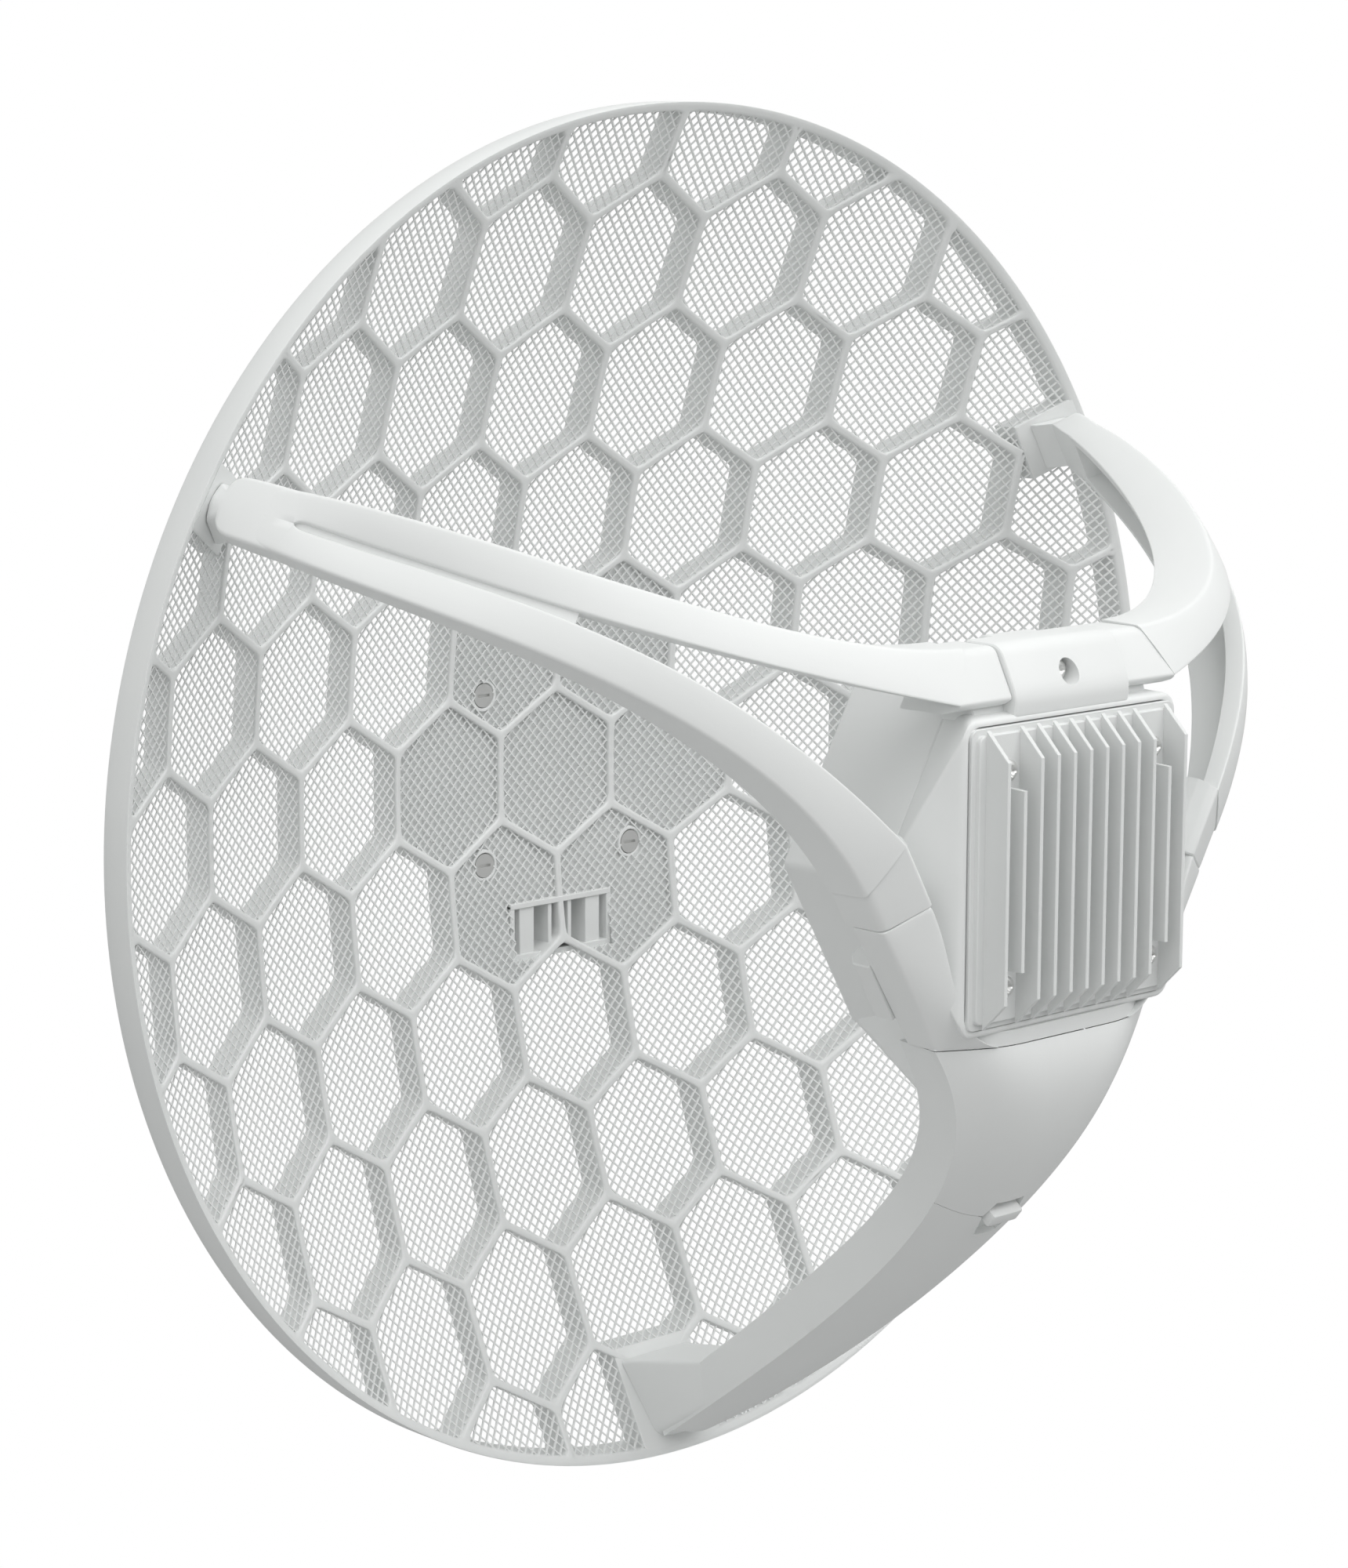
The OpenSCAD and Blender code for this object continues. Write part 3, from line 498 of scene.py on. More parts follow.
def moulding(name, loops, degrees, node, sharp=35, body="router"):
    """Skin of the arms' and shells' plastic through loops that are turned about the beam's axis."""
    return loft(name, turned(loops, degrees), shell, node, sharp, body)


def unit(v):
    """Vectors of length one."""
    return v / np.linalg.norm(v, axis=-1, keepdims=True)


def curve(handles, t):
    """Cubic with four handles, mixed with the weights (1-t)^3, 3t(1-t)^2, 3t^2(1-t) and t^3."""
    t = np.asarray(t, float)[..., None]
    weights = ((1 - t) ** 3, 3 * t * (1 - t) ** 2, 3 * t * t * (1 - t), t ** 3)
    return sum(w * np.array(h, float) for w, h in zip(weights, handles))


def soften(points, radius, steps=5):
    """Loops of corners as loops of points: each corner becomes a parabola that starts and ends at a distance
    from it."""
    before, after = np.roll(points, 1, -2) - points, np.roll(points, -1, -2) - points
    radius = np.broadcast_to(radius, points.shape[:-1])[..., None]
    to_before = np.linalg.norm(before, axis=-1, keepdims=True)
    to_after = np.linalg.norm(after, axis=-1, keepdims=True)
    start = (points + before / to_before * np.minimum(radius, 0.45 * to_before))[..., None, :]
    end = (points + after / to_after * np.minimum(radius, 0.45 * to_after))[..., None, :]
    s = np.linspace(0, 1, steps)[:, None]
    out = (1 - s) ** 2 * start + 2 * s * (1 - s) * points[..., None, :] + s * s * end
    return out.reshape(*points.shape[:-2], -1, 3)


arm_t = 2.4
lip_h = 6
seam_u = 59
groove = 2
groove_t = 0.1
groove_deep = 1.5
floor_t = 2
part_t = 0.016
split_t = 0.5
end_r = 4
branch_l = 165
mirror = np.array([1, -1, 1])
heel = foot_seat(foot_out)
rear_edge = [[foot_out - 9, 7, heel + 1.4], [158, 14, 103], [111, 3, 172], [seam_u, 35, 182]]
crease = [[foot_out - 1, 6.6, heel + 3.4], [167, 15.7, 117], [118, 3, 195], [seam_u, 34.5, 195]]
front_edge = [[foot_out - 1, groove / 2, heel + 7.4], [154, groove, 120], [137, -4.5, 184],
              [seam_u, 19, 201.7]]
opening = groove_t + part_t * (1 - np.cos(np.linspace(0, math.pi / 2, 7)))
foot_along = np.array([0, 0.0024, 0.0073, 0.0145, 0.025, 0.05, 0.075, groove_t])
along = np.concatenate([foot_along[:-1], opening, np.linspace(groove_t + 0.03, 1, 64)])


def branch_lines(t):
    """Rear edge, crease and front edge of a branch; near the foot the front lies almost flat between creases
    whose distance h becomes h - r + sqrt(r^2 - (r - s)^2) at a length s below r from the end."""
    rear, side, nose = curve(rear_edge, t), curve(crease, t), curve(front_edge, t)
    short = end_r - np.clip(branch_l * np.asarray(t), 0, end_r)
    side[:, 1] -= end_r - np.sqrt(end_r ** 2 - short * short)
    share = np.clip(np.asarray(t) / (groove_t + 0.1), 0, 1)
    share = (share * share * (3 - 2 * share))[..., None]
    flat = side + 0.7 * unit(side - rear) * [1, 0, 1]
    nose[..., ::2] = (share * nose + (1 - share) * flat)[..., ::2]
    return rear, side, nose, share


# Channel of a branch: outer wall from the rear edge to the crease, a front that bows out a little, and a lip
rear, side, nose, share = branch_lines(along)
parted = np.sqrt(np.clip(1 - np.clip(1 - (along - groove_t) / part_t, 0, 1) ** 2, 0, 1))
nose[:, 1] *= parted
inward, forward = unit(rear - side), unit(side - nose)
crown = (side + nose) / 2 - 0.5 * share * inward
branch = np.stack([rear, side, crown, nose, nose + lip_h * inward, nose + lip_h * inward + arm_t * forward,
                   nose + arm_t * (inward + forward), side + arm_t * (inward - forward),
                   rear - arm_t * forward], 1)
radius = np.tile([0.5, 1.3, 5.0, 0.8, 0.3, 0.3, 0.3, 0.6, 0.4], (len(along), 1))
radius[:, 3] *= parted
branch = soften(branch, radius)

# Floor of the groove between the branches, up to where they part
floor_along = np.concatenate([[groove_t - 0.01], np.linspace(groove_t + 0.005, split_t, 30)])
nose = branch_lines(floor_along)[2]
inward = unit(curve(rear_edge, floor_along) - curve(crease, floor_along))
floor_front, floor_back = nose + groove_deep * inward, nose + (groove_deep + floor_t) * inward
groove_floor = np.stack([floor_back, floor_front, floor_front, floor_back], 1)
floor_half = 0.7 + floor_front[:, None, 1]
groove_floor[:, :2, 1], groove_floor[:, 2:, 1] = -floor_half, floor_half

# Closed foot: it stands a little proud of the branches, then sinks into them, and widens towards its seat
rear, side, nose, share = branch_lines(foot_along)
sunk = np.interp(foot_along, [0, 0.05, groove_t], [-0.25, -0.25, 0.3])[:, None]
inward = sunk * unit(rear - side)
rear, side, nose = rear - inward, side + inward, nose + inward
nose[:, 1] = 0
rear[:, 1] += 0.8 * (1 - foot_along / groove_t)
side[:, 1] += 1.5 * (1 - foot_along / groove_t)
seat_in = foot_out - foot_l
seat = np.array([[[seat_in, foot_half, foot_seat(seat_in)], [foot_out - 1.2, 5.2, heel - 0.2],
                  [foot_out + 0.5, 0, heel + 0.2]],
                 [[seat_in + 0.1, foot_half, foot_seat(seat_in) + 1.6], [foot_out - 0.8, 4.6, heel + 1.4],
                  [foot_out + 0.6, 0, heel + 2.4]]])
half_foot = np.concatenate([seat, np.stack([rear, side, nose], 1)])
foot_block = np.concatenate([half_foot, half_foot[:, 1::-1] * mirror], 1)
foot_block = soften(foot_block, [0.5, 1.3, 5.0, 1.3, 0.5], 7)

for node, degrees, upper, lower in (("arm_left", 150, branch * mirror, branch),
                                    ("arm_right", 30, branch, branch * mirror)):
    for name, loops in (("upper", upper), ("lower", lower), ("groove_floor", groove_floor),
                        ("foot", foot_block)):
        moulding(f"{node}_{name}", loops, degrees, node)

# ---- Bottom arm ----
# A wider channel of the same plastic carries the cable. Its front panel and its two flanks meet at a sharp
# crease, and it stands on a heel that flares towards the dish.
frame_w, frame_y = 82, 0.8
door_set = 4.4
door_top = frame_w / 2 - frame_y + door_set
channel_t = 2.2
channel_rear = [[door_top, 38, 178], [75, 30, 190], [98, 10, 157], [foot_out - 13, 9.5, heel - 1.5]]
channel_side = [[door_top, 41, 193.7], [82, 17.6, 198], [116, 23.5, 164], [foot_out - 1, 8.5, heel + 1.4]]
channel_crest = [[door_top, 25, 202.5], [62.5, 15, 212.5], [122.5, 0, 179], [foot_out, 3, heel + 4.4]]
crest_r = 9
crest_steps = 9
door_low, door_dip, door_lean, door_gap = 91, 7, math.radians(25), 0.35
latch_w = 11.6
latch_half = latch_w / 2 + door_gap
seam_gap, recess_t, notch_t = 0.15, 0.042, 0.028


def out_of_panel(t):
    """Direction out of the front panel: square to the crest's own direction, seen from the side."""
    d = curve(channel_crest, np.asarray(t) + 0.01) - curve(channel_crest, np.asarray(t) - 0.01)
    return -unit(np.stack([d[..., 2], 0 * d[..., 0], -d[..., 0]], -1))


def at_distance(handles, u):
    """Value of t where a curve lies at a distance from the axis."""
    t = np.linspace(0, 1, 401)
    return float(np.interp(u, curve(handles, t)[:, 0], t))


quarters = np.arange(5) / 4
middle_share = np.linspace(0, 1, 13)[1:-1]
columns = np.arange(8 + 2 * crest_steps + len(middle_share))


def panel(t, column):
    """Points of the front panel: the outline from side edge to side edge at t, softened at the crests. Each
    column takes one point of it, and between the soft corners the columns lie evenly."""
    side, crest = curve(channel_side, t), curve(channel_crest, t)
    outline = np.stack([side, crest, crest * mirror, side * mirror], -2)
    soft = np.moveaxis(soften(outline, [0, crest_r, crest_r, 0], crest_steps), -2, 0)

    def between(corner, shares):
        start, end = soft[corner * crest_steps - 1], soft[corner * crest_steps]
        return [start + (end - start) * s for s in shares]

    left_crest, right_crest = soft[crest_steps:2 * crest_steps], soft[2 * crest_steps:3 * crest_steps]
    points = np.stack([*between(1, quarters[:-1]), *left_crest, *between(2, middle_share), *right_crest,
                       *between(3, quarters[1:])], -2)
    return np.take_along_axis(points, column[..., None, None], -2)[..., 0, :]


def lean(point):
    """How far a place lies along a direction square to the seam, which leans outward."""
    return point[..., 0] * math.cos(door_lean) - point[..., 2] * math.sin(door_lean)


low_corner = curve(channel_side, at_distance(channel_side, door_low))
latch_at = at_distance(channel_crest, door_low + door_dip)
latch_point = curve(channel_crest, latch_at)
seam_start = lean(low_corner)
dip = lean(latch_point) - seam_start


def seam_along(shift):
    """Value of t at the door's seam in each column, by halving: the seam's distance falls off with the square
    of the place across."""
    near_end, far_end = np.full(len(columns), 0.05), np.full(len(columns), 0.95)
    for _ in range(24):
        t = (near_end + far_end) / 2
        point = panel(t, columns)
        inside = lean(point) < seam_start + shift + dip * (1 - (point[:, 1] / low_corner[1]) ** 2)
        near_end, far_end = np.where(inside, t, near_end), np.where(inside, far_end, t)
    return t


def closed_sheet(name, outer, inner, body, node):
    """Closed plate of the shell's plastic between two grids of points in the frame of the bottom arm, with a
    wall along each of its four borders."""
    rows, count = outer.shape[:2]
    index = np.arange(rows * count).reshape(rows, count)
    back_side = rows * count
    front_quads = loop_quads(rows, count, closed_loop=False)
    walls = []
    for line in (index[0], index[-1], index[:, 0], index[:, -1]):
        walls.append(np.stack([line[:-1], line[1:], line[1:] + back_side, line[:-1] + back_side], -1))
    quads = np.concatenate([front_quads, front_quads[:, ::-1] + back_side, *walls])
    verts = turned(np.concatenate([outer.reshape(-1, 3), inner.reshape(-1, 3)]), 270)
    new_piece(name, upright(*verts.T), quads, body, shell, node, 35, 1e-7)


def panel_piece(name, starts, ends, steps, body, node):
    """Front panel between two values of t in each column, of the channel's wall."""
    s = np.linspace(0, 1, steps)[:, None]
    t = starts + (ends - starts) * s
    outer = panel(t, np.broadcast_to(columns, t.shape))
    inner = outer - channel_t * out_of_panel(t)
    for border in (0, -1):
        inner[:, border, 1] -= np.sign(inner[:, border, 1]) * 0.6
    closed_sheet(name, outer, inner, body, node)


# The panel starts below the door, with a recess below the latch, and ends at the heel
under_door = seam_along(seam_gap)
beside_latch = np.abs(panel(under_door, columns)[:, 1]) - latch_half
under_door = under_door + recess_t * np.clip(1 - beside_latch / 0.8, 0, 1)
panel_piece("arm_bottom_panel", under_door, np.full(len(columns), 0.985), 60, "router", "arm_bottom")

along = np.linspace(0, 1, 72)
rear, side = curve(channel_rear, along), curve(channel_side, along)
side = side - 0.12 * unit(side - rear)
drop = np.array([0, channel_t, 0])
flank = soften(np.stack([rear, side, side - drop, rear - drop], 1), [0.5, 0.12, 0.3, 0.4])
moulding("arm_bottom_flank_left", flank * mirror, 270, "arm_bottom")
moulding("arm_bottom_flank_right", flank, 270, "arm_bottom")

# The heel mixes a seat on the pad with the channel's outline a little above it; its sides bow in between
heel_top = 0.93
low_ring = np.array([[foot_in + 4, heel_half], [foot_out - 2, heel_half - 4], [foot_out, heel_half - 8]])
low_ring = np.column_stack([low_ring, foot_seat(low_ring[:, 0])])
top_ring = np.stack([curve(line, heel_top) for line in (channel_rear, channel_side, channel_crest)])
top_ring = top_ring + 0.04 * (top_ring.mean(0) - top_ring)
share = np.array([0, 0.04, 0.15, 0.3, 0.5, 0.75, 1])[:, None, None]
half_heel = low_ring + (top_ring - low_ring) * np.concatenate([share, share ** 0.8, share], -1)
heel_loops = np.concatenate([half_heel, half_heel[:, ::-1] * mirror], 1)
moulding("arm_bottom_heel", soften(heel_loops, [1.5, 1.5, 3, 3, 1.5, 1.5], 6), 270, "arm_bottom")

# ---- Latch of the port door ----
# A small slide of the same plastic sits in a notch at the door's seam. Its grip stands out of the panel, and
# its tongue runs up behind the door between two rails.
outward = out_of_panel(latch_at)
down_slope = np.array([outward[2], 0, -outward[0]])
grip_half, grip_top, grip_foot = latch_w / 2, 2.0, -3.2
latch_loops = []
for x, inset in ((-2.4, 0.5), (-2.15, 0.12), (-1.7, 0), (1.4, 0), (1.8, 0.12), (2.0, 0.5)):
    across_it = np.array([-1, 1, 1, -1]) * (grip_half - inset)
    out_of_it = np.array([grip_foot, grip_foot, grip_top - inset, grip_top - inset])
    ring = latch_point * [1, 0, 1] + x * down_slope + out_of_it[:, None] * outward
    ring[:, 1] = across_it
    latch_loops.append(ring)
latch_loops = soften(np.array(latch_loops), [0.1, 0.1, 0.8, 0.8])
moulding("door_latch_grip", latch_loops, 270, "door_latch", body="latch")


def prism(name, outline, middle, width, body, node):
    """Straight bar of a width across the arm about a middle; its outline gives distance from the axis and
    height."""
    line = np.array(outline, float)
    rows = np.array([np.column_stack([line[:, 0], np.full(len(line), v), line[:, 1]])
                     for v in (middle - width / 2, middle + width / 2)])
    moulding(name, soften(rows, 0.15, 3), 270, node, body=body)


def on_slope(x0, x1, z0, z1):
    """Rectangle in the latch's own frame: down the slope and out of the panel."""
    corners = ((x0, z0), (x1, z0), (x1, z1), (x0, z1))
    return [(latch_point + x * down_slope + z * outward)[[0, 2]] for x, z in corners]


tongue_up, rail_low = -13, -7.6
tongue_top = -channel_t - 1
tongue_t = 1.5
prism("door_latch_tongue", on_slope(tongue_up, 3.2, tongue_top - tongue_t, tongue_top), 0, latch_w, "latch",
      "door_latch")

# ---- Port door ----
# The door is the upper end of the same panel. It is moulded with two rails that guide the latch and two hooks
# at its top edge, on which it hangs.
door_end = seam_along(0.0)
notch = np.abs(panel(door_end, columns)[:, 1]) < latch_half
door_end = np.where(notch, door_end - notch_t, door_end)
panel_piece("port_door_panel", np.zeros(len(columns)), door_end, 40, "door", "port_door")

rail_at, rail_w = 6.7, 1.4
lip_at, lip_w = 5.4, 2
hook_at, hook_w = 15, 6
rail_back = tongue_top - 2.9
rail = on_slope(tongue_up, rail_low, rail_back, 0.3 - channel_t)
rail_lip = on_slope(tongue_up, rail_low, rail_back, rail_back + 1.2)
hook = [[door_top - 1.6, -2], [door_top + 4.4, -2], [door_top + 4.4, 0.6], [door_top + 0.4, 0.6],
        [door_top + 0.4, -0.4], [door_top - 1.6, -0.4]]
hook = np.array(hook) + [0, channel_crest[0][2] - channel_t]
for side, way in (("left", -1), ("right", 1)):
    prism(f"port_door_rail_{side}", rail, way * rail_at, rail_w, "door", "port_door")
    prism(f"port_door_rail_lip_{side}", rail_lip, way * lip_at, lip_w, "door", "port_door")
    prism(f"port_door_hook_{side}", hook, way * hook_at, hook_w, "door", "port_door")

# ---- Head: front shell ----
# The router's front shell is moulded white plastic. It runs from a hexagon at the seam to a square frame that
# holds the heat sink, with soft edges.
head_z = 148.5
seam_z = head_z + 35.5
frame_z = seam_z + 18.4
frame_r = 4
frame_lip = 1.8
hex_w, hex_front_w = 93, 90.4
hex_r = 7
shell_t = 2.4
sink_front = frame_z + 2.1
sink_back = sink_front - 5
normals = [0, 30, 90, 150, 180, 210, 270, 330, 360]
facing = np.concatenate([np.linspace(a, b, 9) for a, b in zip(normals, normals[1:])])
middle = np.repeat([(a + b) / 2 for a, b in zip(normals, normals[1:])], 9)


def direction(degrees):
    """Unit vectors at angles in degrees."""
    return np.stack([np.cos(np.radians(degrees)), np.sin(np.radians(degrees))], -1)


def hexagon_line(flats, bend):
    """Rounded hexagon by the direction its edge faces: a smaller hexagon's corner plus bend times that."""
    corners = (flats / 2 - bend) * 2 / math.sqrt(3) * direction(np.round(middle / 60) * 60)
    return corners + bend * direction(facing)


def square_line(width, bend):
    """Rounded square by the direction that its edge faces, in the same steps as the hexagon."""
    corners = (width / 2 - bend) * math.sqrt(2) * direction(np.floor(middle / 90) * 90 + 45)
    return corners + bend * direction(facing) + [0, frame_y]


def at_level(xy, z):
    """Outline placed at a height along the beam."""
    return np.column_stack([xy, np.full(len(xy), z)])


def shell_ring(z, inset):
    """Level of the front shell: the mix of hexagon and square that a hull between them has there."""
    s = (z - seam_z) / (frame_z - seam_z)
    hexagon = hexagon_line(hex_front_w - 2 * inset, hex_r)
    return at_level((1 - s) * hexagon + s * square_line(frame_w - 2 * inset, frame_r), z)


levels = [(seam_z + 0.12, 0.25), (seam_z + 0.3, 0.06), (seam_z + 0.6, 0)]
levels += [(z, 0) for z in np.linspace(seam_z + 2, frame_z - 1.3, 9)]
levels += [(frame_z - 0.7, 0.1), (frame_z - 0.3, 0.34), (frame_z - 0.08, 0.7), (frame_z, 1.15),
           (frame_z - 0.08, 1.5), (frame_z - 0.35, frame_lip - 0.08), (frame_z - 0.8, frame_lip),
           (sink_back + 0.2, frame_lip), (sink_back, 3.2), (seam_z + 4, 2.6), (seam_z + 0.12, shell_t)]
front = np.array([shell_ring(z, inset) for z, inset in levels])
front_quads = loop_quads(len(front), len(facing), closed_rows=True)
new_piece("front_housing_shell", upright(*front.reshape(-1, 3).T), front_quads, "router", shell,
          "front_housing", 28, 1e-5)

# Strip of the front shell between the frame and the port door, with the door's own outline
frame_side = 40.4
low_end = door_top - 0.25
strip_rows = 4
outer = panel(np.zeros((strip_rows, len(columns))), np.broadcast_to(columns, (strip_rows, len(columns))))
outer[..., 0] = np.linspace(frame_side, low_end, strip_rows)[:, None]
closed_sheet("front_housing_chin", outer, outer - [0, 0, channel_t], "router", "front_housing")

# ---- Head: crowns ----
# Three short bars of the shells' plastic on the head's edges take the arms' ends. The middle of each belongs
# to the front shell and its ends to the rear shell. A screw sits deep in the top one.
crown_w = 59
block_half = 22
saddle_half = 33.5
collar_gap, arm_gap = 0.12, 0.02
crown_screw_u, crown_screw_z, crown_bore_r = 50.9, 196, 3.5
block_line = [[43.5, seam_z], [crown_w + 0.6, seam_z], [crown_w + 0.6, 196.4], [46.5, 203.0], [41.0, 202.2],
              [41.0, 198]]
saddle_line = [[frame_side, seam_z + 3], [45, seam_z + 3], [45, 197.5], [frame_side, 199]]
collar_line = [[43.5, seam_z - 2.5], [crown_w, seam_z - 2.5], [crown_w, 195], [46, 201.7], [44.6, 199.5],
               [43.5, 196]]


def crown_loops(profile, bends, places, swell):
    """Loops along a crown: the profile in distance from the axis and height, drawn in by swell at each place,
    where a place is a function of that distance."""
    loops = []
    for place, inset in zip(places, swell):
        line = np.array(profile, float)
        line = line + inset * unit(line.mean(0) - line)
        loops.append(np.column_stack([line[:, 0], [place(w) for w in line[:, 0]], line[:, 1]]))
    return soften(np.array(loops), bends, 7)


def straight_ends(half, *steps):
    """Places across a crown, the same at every distance: from -half inwards by each step, and out to half."""
    inner = [half - step for step in (0, *steps)]
    return [lambda w, v=v: v for v in [-v for v in inner] + inner[::-1]]


def seam_place(side, share):
    """Place on the way from a crown's block to the arm's slanting seam."""
    start = block_half + collar_gap
    return lambda w: side * (start + share * ((seam_u - w / 2) / math.cos(math.pi / 6) - arm_gap - start))


def bored(piece, centre, radius, z0, z1):
    """Cuts a round hole along the beam: the Boolean modifier's result becomes the mesh."""
    steps = 40
    ring = circle(steps)
    loops = upright(centre[0] + radius * ring[:, 0], centre[1] + radius * ring[:, 1], np.array([[z0], [z1]]))
    ends = [list(range(steps)), list(range(2 * steps - 1, steps - 1, -1))]
    mesh = bpy.data.meshes.new("drill")
    mesh.from_pydata(loops.reshape(-1, 3).tolist(), [], loop_quads(2, steps).tolist() + ends)
    solid = bmesh.new()
    solid.from_mesh(mesh)
    bmesh.ops.recalc_face_normals(solid, faces=solid.faces)
    solid.to_mesh(mesh)
    solid.free()
    drill = bpy.data.objects.new("drill", mesh)
    bpy.context.scene.collection.objects.link(drill)
    cut = piece.modifiers.new("hole", "BOOLEAN")
    cut.object = drill
    cut.operation = "DIFFERENCE"
    cut.solver = "EXACT"
    view = bpy.context.evaluated_depsgraph_get()
    result = bpy.data.meshes.new_from_object(piece.evaluated_get(view))
    piece.modifiers.remove(cut)
    solid_mesh = piece.data
    piece.data = result
    bpy.data.meshes.remove(solid_mesh)
    bpy.data.objects.remove(drill)
    bpy.data.meshes.remove(mesh)
    piece.data.set_sharp_from_angle(angle=math.radians(28))


block = crown_loops(block_line, [0.5, 1.2, 3.5, 4, 1, 0.5], straight_ends(block_half, 0.25, 0.8),
                    [0.7, 0.25, 0, 0, 0.25, 0.7])
top_block = moulding("crown_block_top", block, 90, "front_housing", 28)
bored(top_block, (0, crown_screw_u), crown_bore_r, crown_screw_z, crown_screw_z + 19)
saddle = crown_loops(saddle_line, 0.3, straight_ends(saddle_half, 0.5), [0.5, 0, 0, 0.5])
moulding("crown_saddle_top", saddle, 90, "front_housing", 28)

# The lower crowns run on into the port door: lines from the arm's seam to the door's corner and to its crest
t = np.concatenate([[0, 0.006, 0.02], np.linspace(0.05, 0.95, 28), [0.98, 0.994, 1]])
outer = curve([[-62.1, -10.4, 195], [-55.1, -21.7, 195.2], [-48, -33, 195], [-41, -low_end, 193.7]], t)
ridge = curve([[-50.8, -3.95, 201.7], [-41.5, -20, 202.6], [-42, -41, 200.6], [-25, -low_end, 202.5]], t)
bulge = 0.5 * np.sin(math.pi * t)[:, None] * [-0.4, -0.2, 0.9]
flat, low = np.array([1, 1, 0]), np.array([0, 0, seam_z + 0.1])
fairing = np.stack([outer * flat + low, outer, outer + (ridge - outer) / 3 + bulge,
                    outer + (ridge - outer) * 2 / 3 + bulge, ridge, ridge - [0, 0, 5],
                    (outer + 2 * ridge) / 3 * flat + low], 1)
swell = np.concatenate([[0.5, 0.12], np.zeros(len(t) - 4), [0.12, 0.5]])[:, None, None]
fairing = fairing + swell * unit(fairing.mean(1, keepdims=True) - fairing) * [1, 0.2, 1]
fairing = soften(fairing, [0.5, 1.2, 4, 4, 1.5, 0.5, 0.5], 6)
for name, way in (("left", 1), ("right", -1)):
    moulding(f"crown_fairing_{name}", fairing * [way, 1, 1], 0, "front_housing", 28)

# Collars of the rear shell, where no fairing takes their place
shares = (0, 0.02, 0.08, 0.5, 0.97, 1)
for name, degrees, side in (("1_right", 90, -1), ("1_left", 90, 1), ("2_right", 210, -1), ("3_left", 330, 1)):
    places = [seam_place(side, share) for share in shares]
    collar = crown_loops(collar_line, [0.5, 0.8, 2.5, 1.0, 0.6, 0.5], places, [0.5, 0.1, 0, 0, 0, 0.06])
    moulding(f"crown_collar_{name}", collar, degrees, "rear_housing", 28)

# ---- Head: rear shell ----
# A hexagonal cup of the same plastic behind the seam, with a chute below it for the cable and three lugs
# behind the crowns.
levels = [(head_z, 3.2), (head_z + 0.1, 2.3), (head_z + 0.5, 1.6), (head_z + 2, 0.2), (head_z + 2.6, 0),
          (seam_z - 2, 0), (seam_z - 0.5, 0), (seam_z - 0.05, 0.25), (seam_z - 0.05, shell_t),
          (head_z + 3, shell_t), (head_z + 2.4, 3)]
cup = []
for z, inset in levels:
    rise = min(max((z - head_z - 2) / (seam_z - head_z - 2), 0), 1)
    flats = hex_w + (hex_front_w - hex_w) * rise
    cup.append(at_level(hexagon_line(flats - 2 * inset, 2.5 if inset < 2 else 1), z))
moulding("rear_housing_cup", np.array(cup), 0, "rear_housing", 28)


def box_ring(width, depth, y, z, bend):
    """Rounded rectangle across the beam."""
    corners = [[x * width / 2, y + s * depth / 2, z] for x, s in ((-1, -1), (1, -1), (1, 1), (-1, 1))]
    return soften(np.array(corners), bend, 6)


throat_y, throat_top = -4.4 - door_top, seam_z - 6.5
low_y = 3.2 - door_top
chute = [box_ring(54, 10, low_y + 0.4, head_z + 2.2, 3), box_ring(55, 11.5, low_y, head_z + 3.4, 3),
         box_ring(62, 22, throat_y, throat_top, 3), box_ring(57.2, 17.2, throat_y, throat_top, 1.5),
         box_ring(50, 6.5, low_y, head_z + 5.5, 1.5)]
moulding("rear_housing_chute", np.array(chute), 0, "rear_housing", 28)

lug_line = [[42, seam_z - 9], [crown_w - 3, seam_z - 9], [crown_w, seam_z - 6], [crown_w, seam_z - 0.1],
            [42, seam_z - 0.1]]
lug = crown_loops(lug_line, [0.3, 1, 1, 0.5, 0.3], straight_ends(9, 0.4), [0.4, 0, 0, 0.4])
for number, degrees in enumerate((90, 210, 330)):
    moulding(f"rear_housing_lug_{number + 1}", lug, degrees, "rear_housing", 28)

# ---- Heat sink ----
# A cast and powder coated plate with twelve upright fins is screwed into the square frame. Its long fins end
# in slopes, and the two beside the screws are short and end square.
sink_coat = coated("heat_sink_coat", (0.77, 0.78, 0.775), 0.55, 0.3, 3000, 0.00003)
sink_w, sink_r = 78, 2.2
fin_count, fin_t, fin_h, fin_pitch = 12, 1.4, 7.4, 6.25
fin_l, short_fin_l = 62.6, 47
short_fins = (1, 10)
fin_taper = 0.12
levels = [(sink_back + 0.02, 0), (sink_front - 1.5, 0), (sink_front - 1.3, 0.15), (sink_front - 1.25, 1.5),
          (sink_front - 0.25, 1.6), (sink_front, 1.85)]
plate_rings = [box_ring(sink_w - 2 * inset, sink_w - 2 * inset, frame_y, z, sink_r) for z, inset in levels]
loft("heat_sink_plate", np.array(plate_rings), sink_coat, "heat_sink", 28)
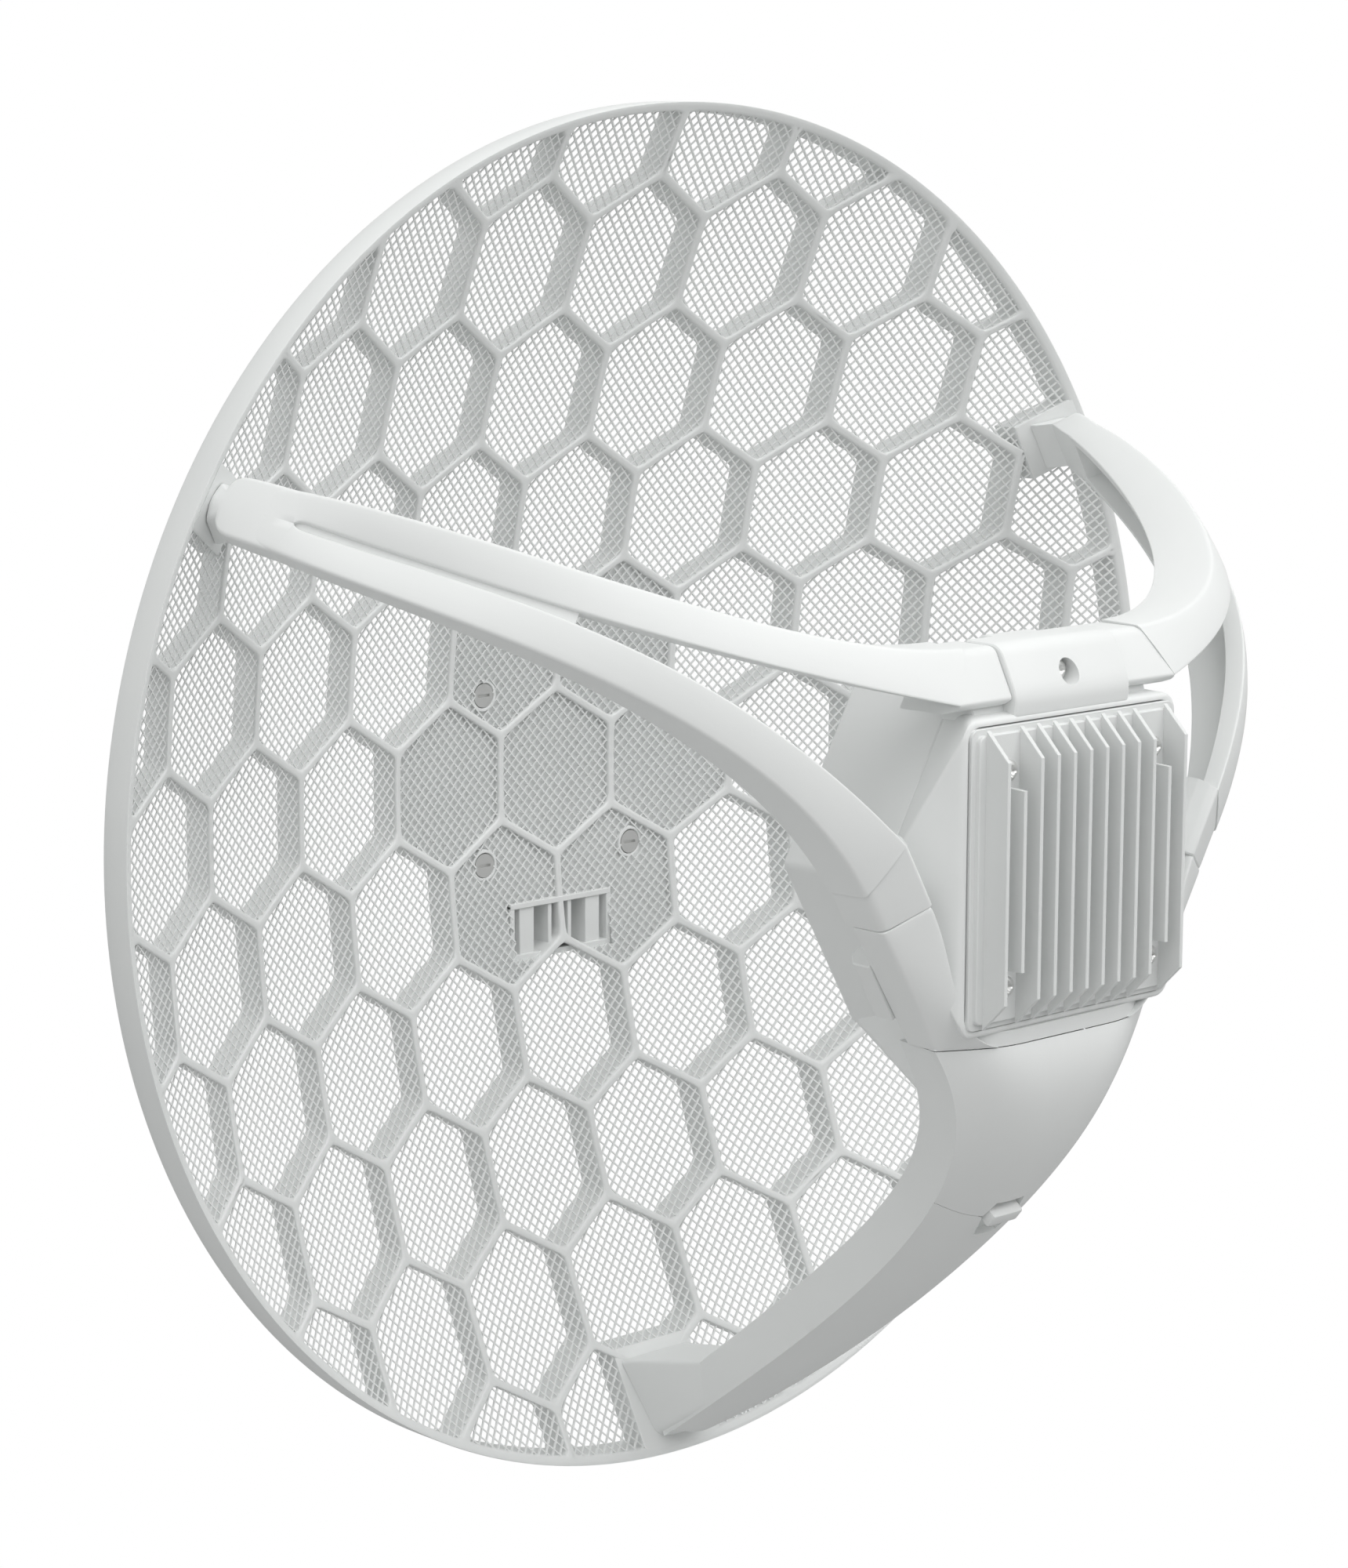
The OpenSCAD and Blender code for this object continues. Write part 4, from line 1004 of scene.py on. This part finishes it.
for i in range(fin_count):
    half, bevel = (short_fin_l / 2, 0.3) if i in short_fins else (fin_l / 2, fin_h)
    x = (i - (fin_count - 1) / 2) * fin_pitch
    outline = np.array([[-half - bevel, -0.1], [-half, fin_h], [half, fin_h], [half + bevel, -0.1]])
    thick = fin_t * (1 - fin_taper * outline[:, 1] / fin_h)
    loops = []
    for dx, inset in ((-0.5, 0.12), (-0.41, 0), (0.41, 0), (0.5, 0.12)):
        line = outline - np.sign(outline - [0, fin_h / 2]) * inset
        loops.append(np.column_stack([x + dx * thick, line[:, 0] + frame_y, sink_front + line[:, 1]]))
    loft(f"heat_sink_fin_{i + 1:02d}", np.array(loops), sink_coat, "heat_sink", 28)
pedestal = [box_ring(24, 24, frame_y, z, 1) for z in (seam_z + 6.05, sink_back)]
loft("heat_sink_pedestal", np.array(pedestal), sink_coat, "heat_sink")

# ---- Screws ----
# Zinc plated steel screws: four with round heads hold the heat sink and one sits deep in the top crown. Four
# slotted ones hold the bracket behind the dish.
zinc = coated("zinc_plate", (0.74, 0.74, 0.73), 0.32, 0.3, 1500, 0.00001, metallic=0.7)


def round_head(name, x, y, z, head_d, head_h, shank_d, depth, node):
    """Screw by turning its section about its own axis: a domed head with a cross recess, and a shank."""
    shank = shank_d / 2
    section = np.array([[0.001, -depth], [shank - 0.3, -depth], [shank, 0.3 - depth], [shank, 0],
                        [0.5 * head_d, 0], [0.5 * head_d, 0.35 * head_h], [0.46 * head_d, 0.68 * head_h],
                        [0.38 * head_d, 0.88 * head_h], [0.27 * head_d, head_h], [0.2 * head_d, head_h],
                        [0.13 * head_d, 0.75 * head_h], [0.001, 0.45 * head_h]])
    r, h = section[:, :1], section[:, 1:]
    turn = circle(48)
    cross = np.abs(turn[:, 0] ** 2 - turn[:, 1] ** 2) ** 6
    in_recess = np.clip(1 - np.abs(r / head_d - 0.17) / 0.11, 0, 1) * (h > head_h * 0.8)
    height = z + h - 0.45 * head_h * in_recess * cross
    ring = np.stack(np.broadcast_arrays(x + r * turn[:, 0], y + r * turn[:, 1], height), -1)
    loft(name, ring, zinc, node, 30)


sink_screw_x, sink_screw_y = 28.1, 28
for number, (side_x, side_y) in enumerate(four_corners):
    x, y = side_x * sink_screw_x, frame_y + side_y * sink_screw_y
    round_head(f"heat_sink_screw_{number + 1}", x, y, sink_front, 6, 2.6, 3, 14, "heat_sink_screws")
round_head("crown_screw_turned", 0, crown_screw_u, crown_screw_z, 5.6, 2, 3, 20, "crown_screw")

# ---- Pole bracket and inner parts ----
# The bracket is moulded like the arms and screwed to the dish. Inside the head are the boards, the socket and
# the small parts behind the port door, each in its own material.
finishes = {
    "pole_bracket": shell,
    "bracket_screws": zinc,
    "antenna_posts": zinc,
    "board_screws": zinc,
    "housing_seal": coated("black_gasket", (0.04, 0.04, 0.04), 0.7, 0.3, 2500, 0.00002),
    "thermal_pad": coated("silicone_pad", (0.35, 0.48, 0.58), 0.75, 0.3, 3000, 0.00003),
    "main_board": coated("solder_mask", (0.03, 0.17, 0.07), 0.35, 0.5, 900, 0.00002, coat=0.3),
    "processor": coated("chip_case", (0.03, 0.03, 0.03), 0.5, 0.3, 3500, 0.00001),
    "reset_switch": coated("switch_case", (0.035, 0.035, 0.035), 0.55, 0.3, 3500, 0.00001),
    "shield_can": coated("tinned_sheet", (0.66, 0.66, 0.64), 0.3, 0.4, 1200, 0.00001, metallic=1.0),
    "ethernet_jack": coated("socket_shield", (0.63, 0.63, 0.62), 0.34, 0.4, 1500, 0.00001, metallic=1.0),
    "antenna_plate": coated("laminate", (0.55, 0.5, 0.3), 0.5, 0.4, 1800, 0.00002),
    "antenna_patch": coated("tinned_copper", (0.75, 0.52, 0.32), 0.3, 0.4, 1200, 0.00001, metallic=1.0),
    "reset_button": coated("button_plastic", (0.05, 0.05, 0.05), 0.45, 0.2, 3000, 0.00001),
    "light_guide": coated("clear_guide", (0.86, 0.9, 0.92), 0.15, 0.1, 1500, 0.00001, coat=0.4),
}
for name, finish in finishes.items():
    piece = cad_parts[name]
    piece.data.materials.clear()
    piece.data.materials.append(finish)
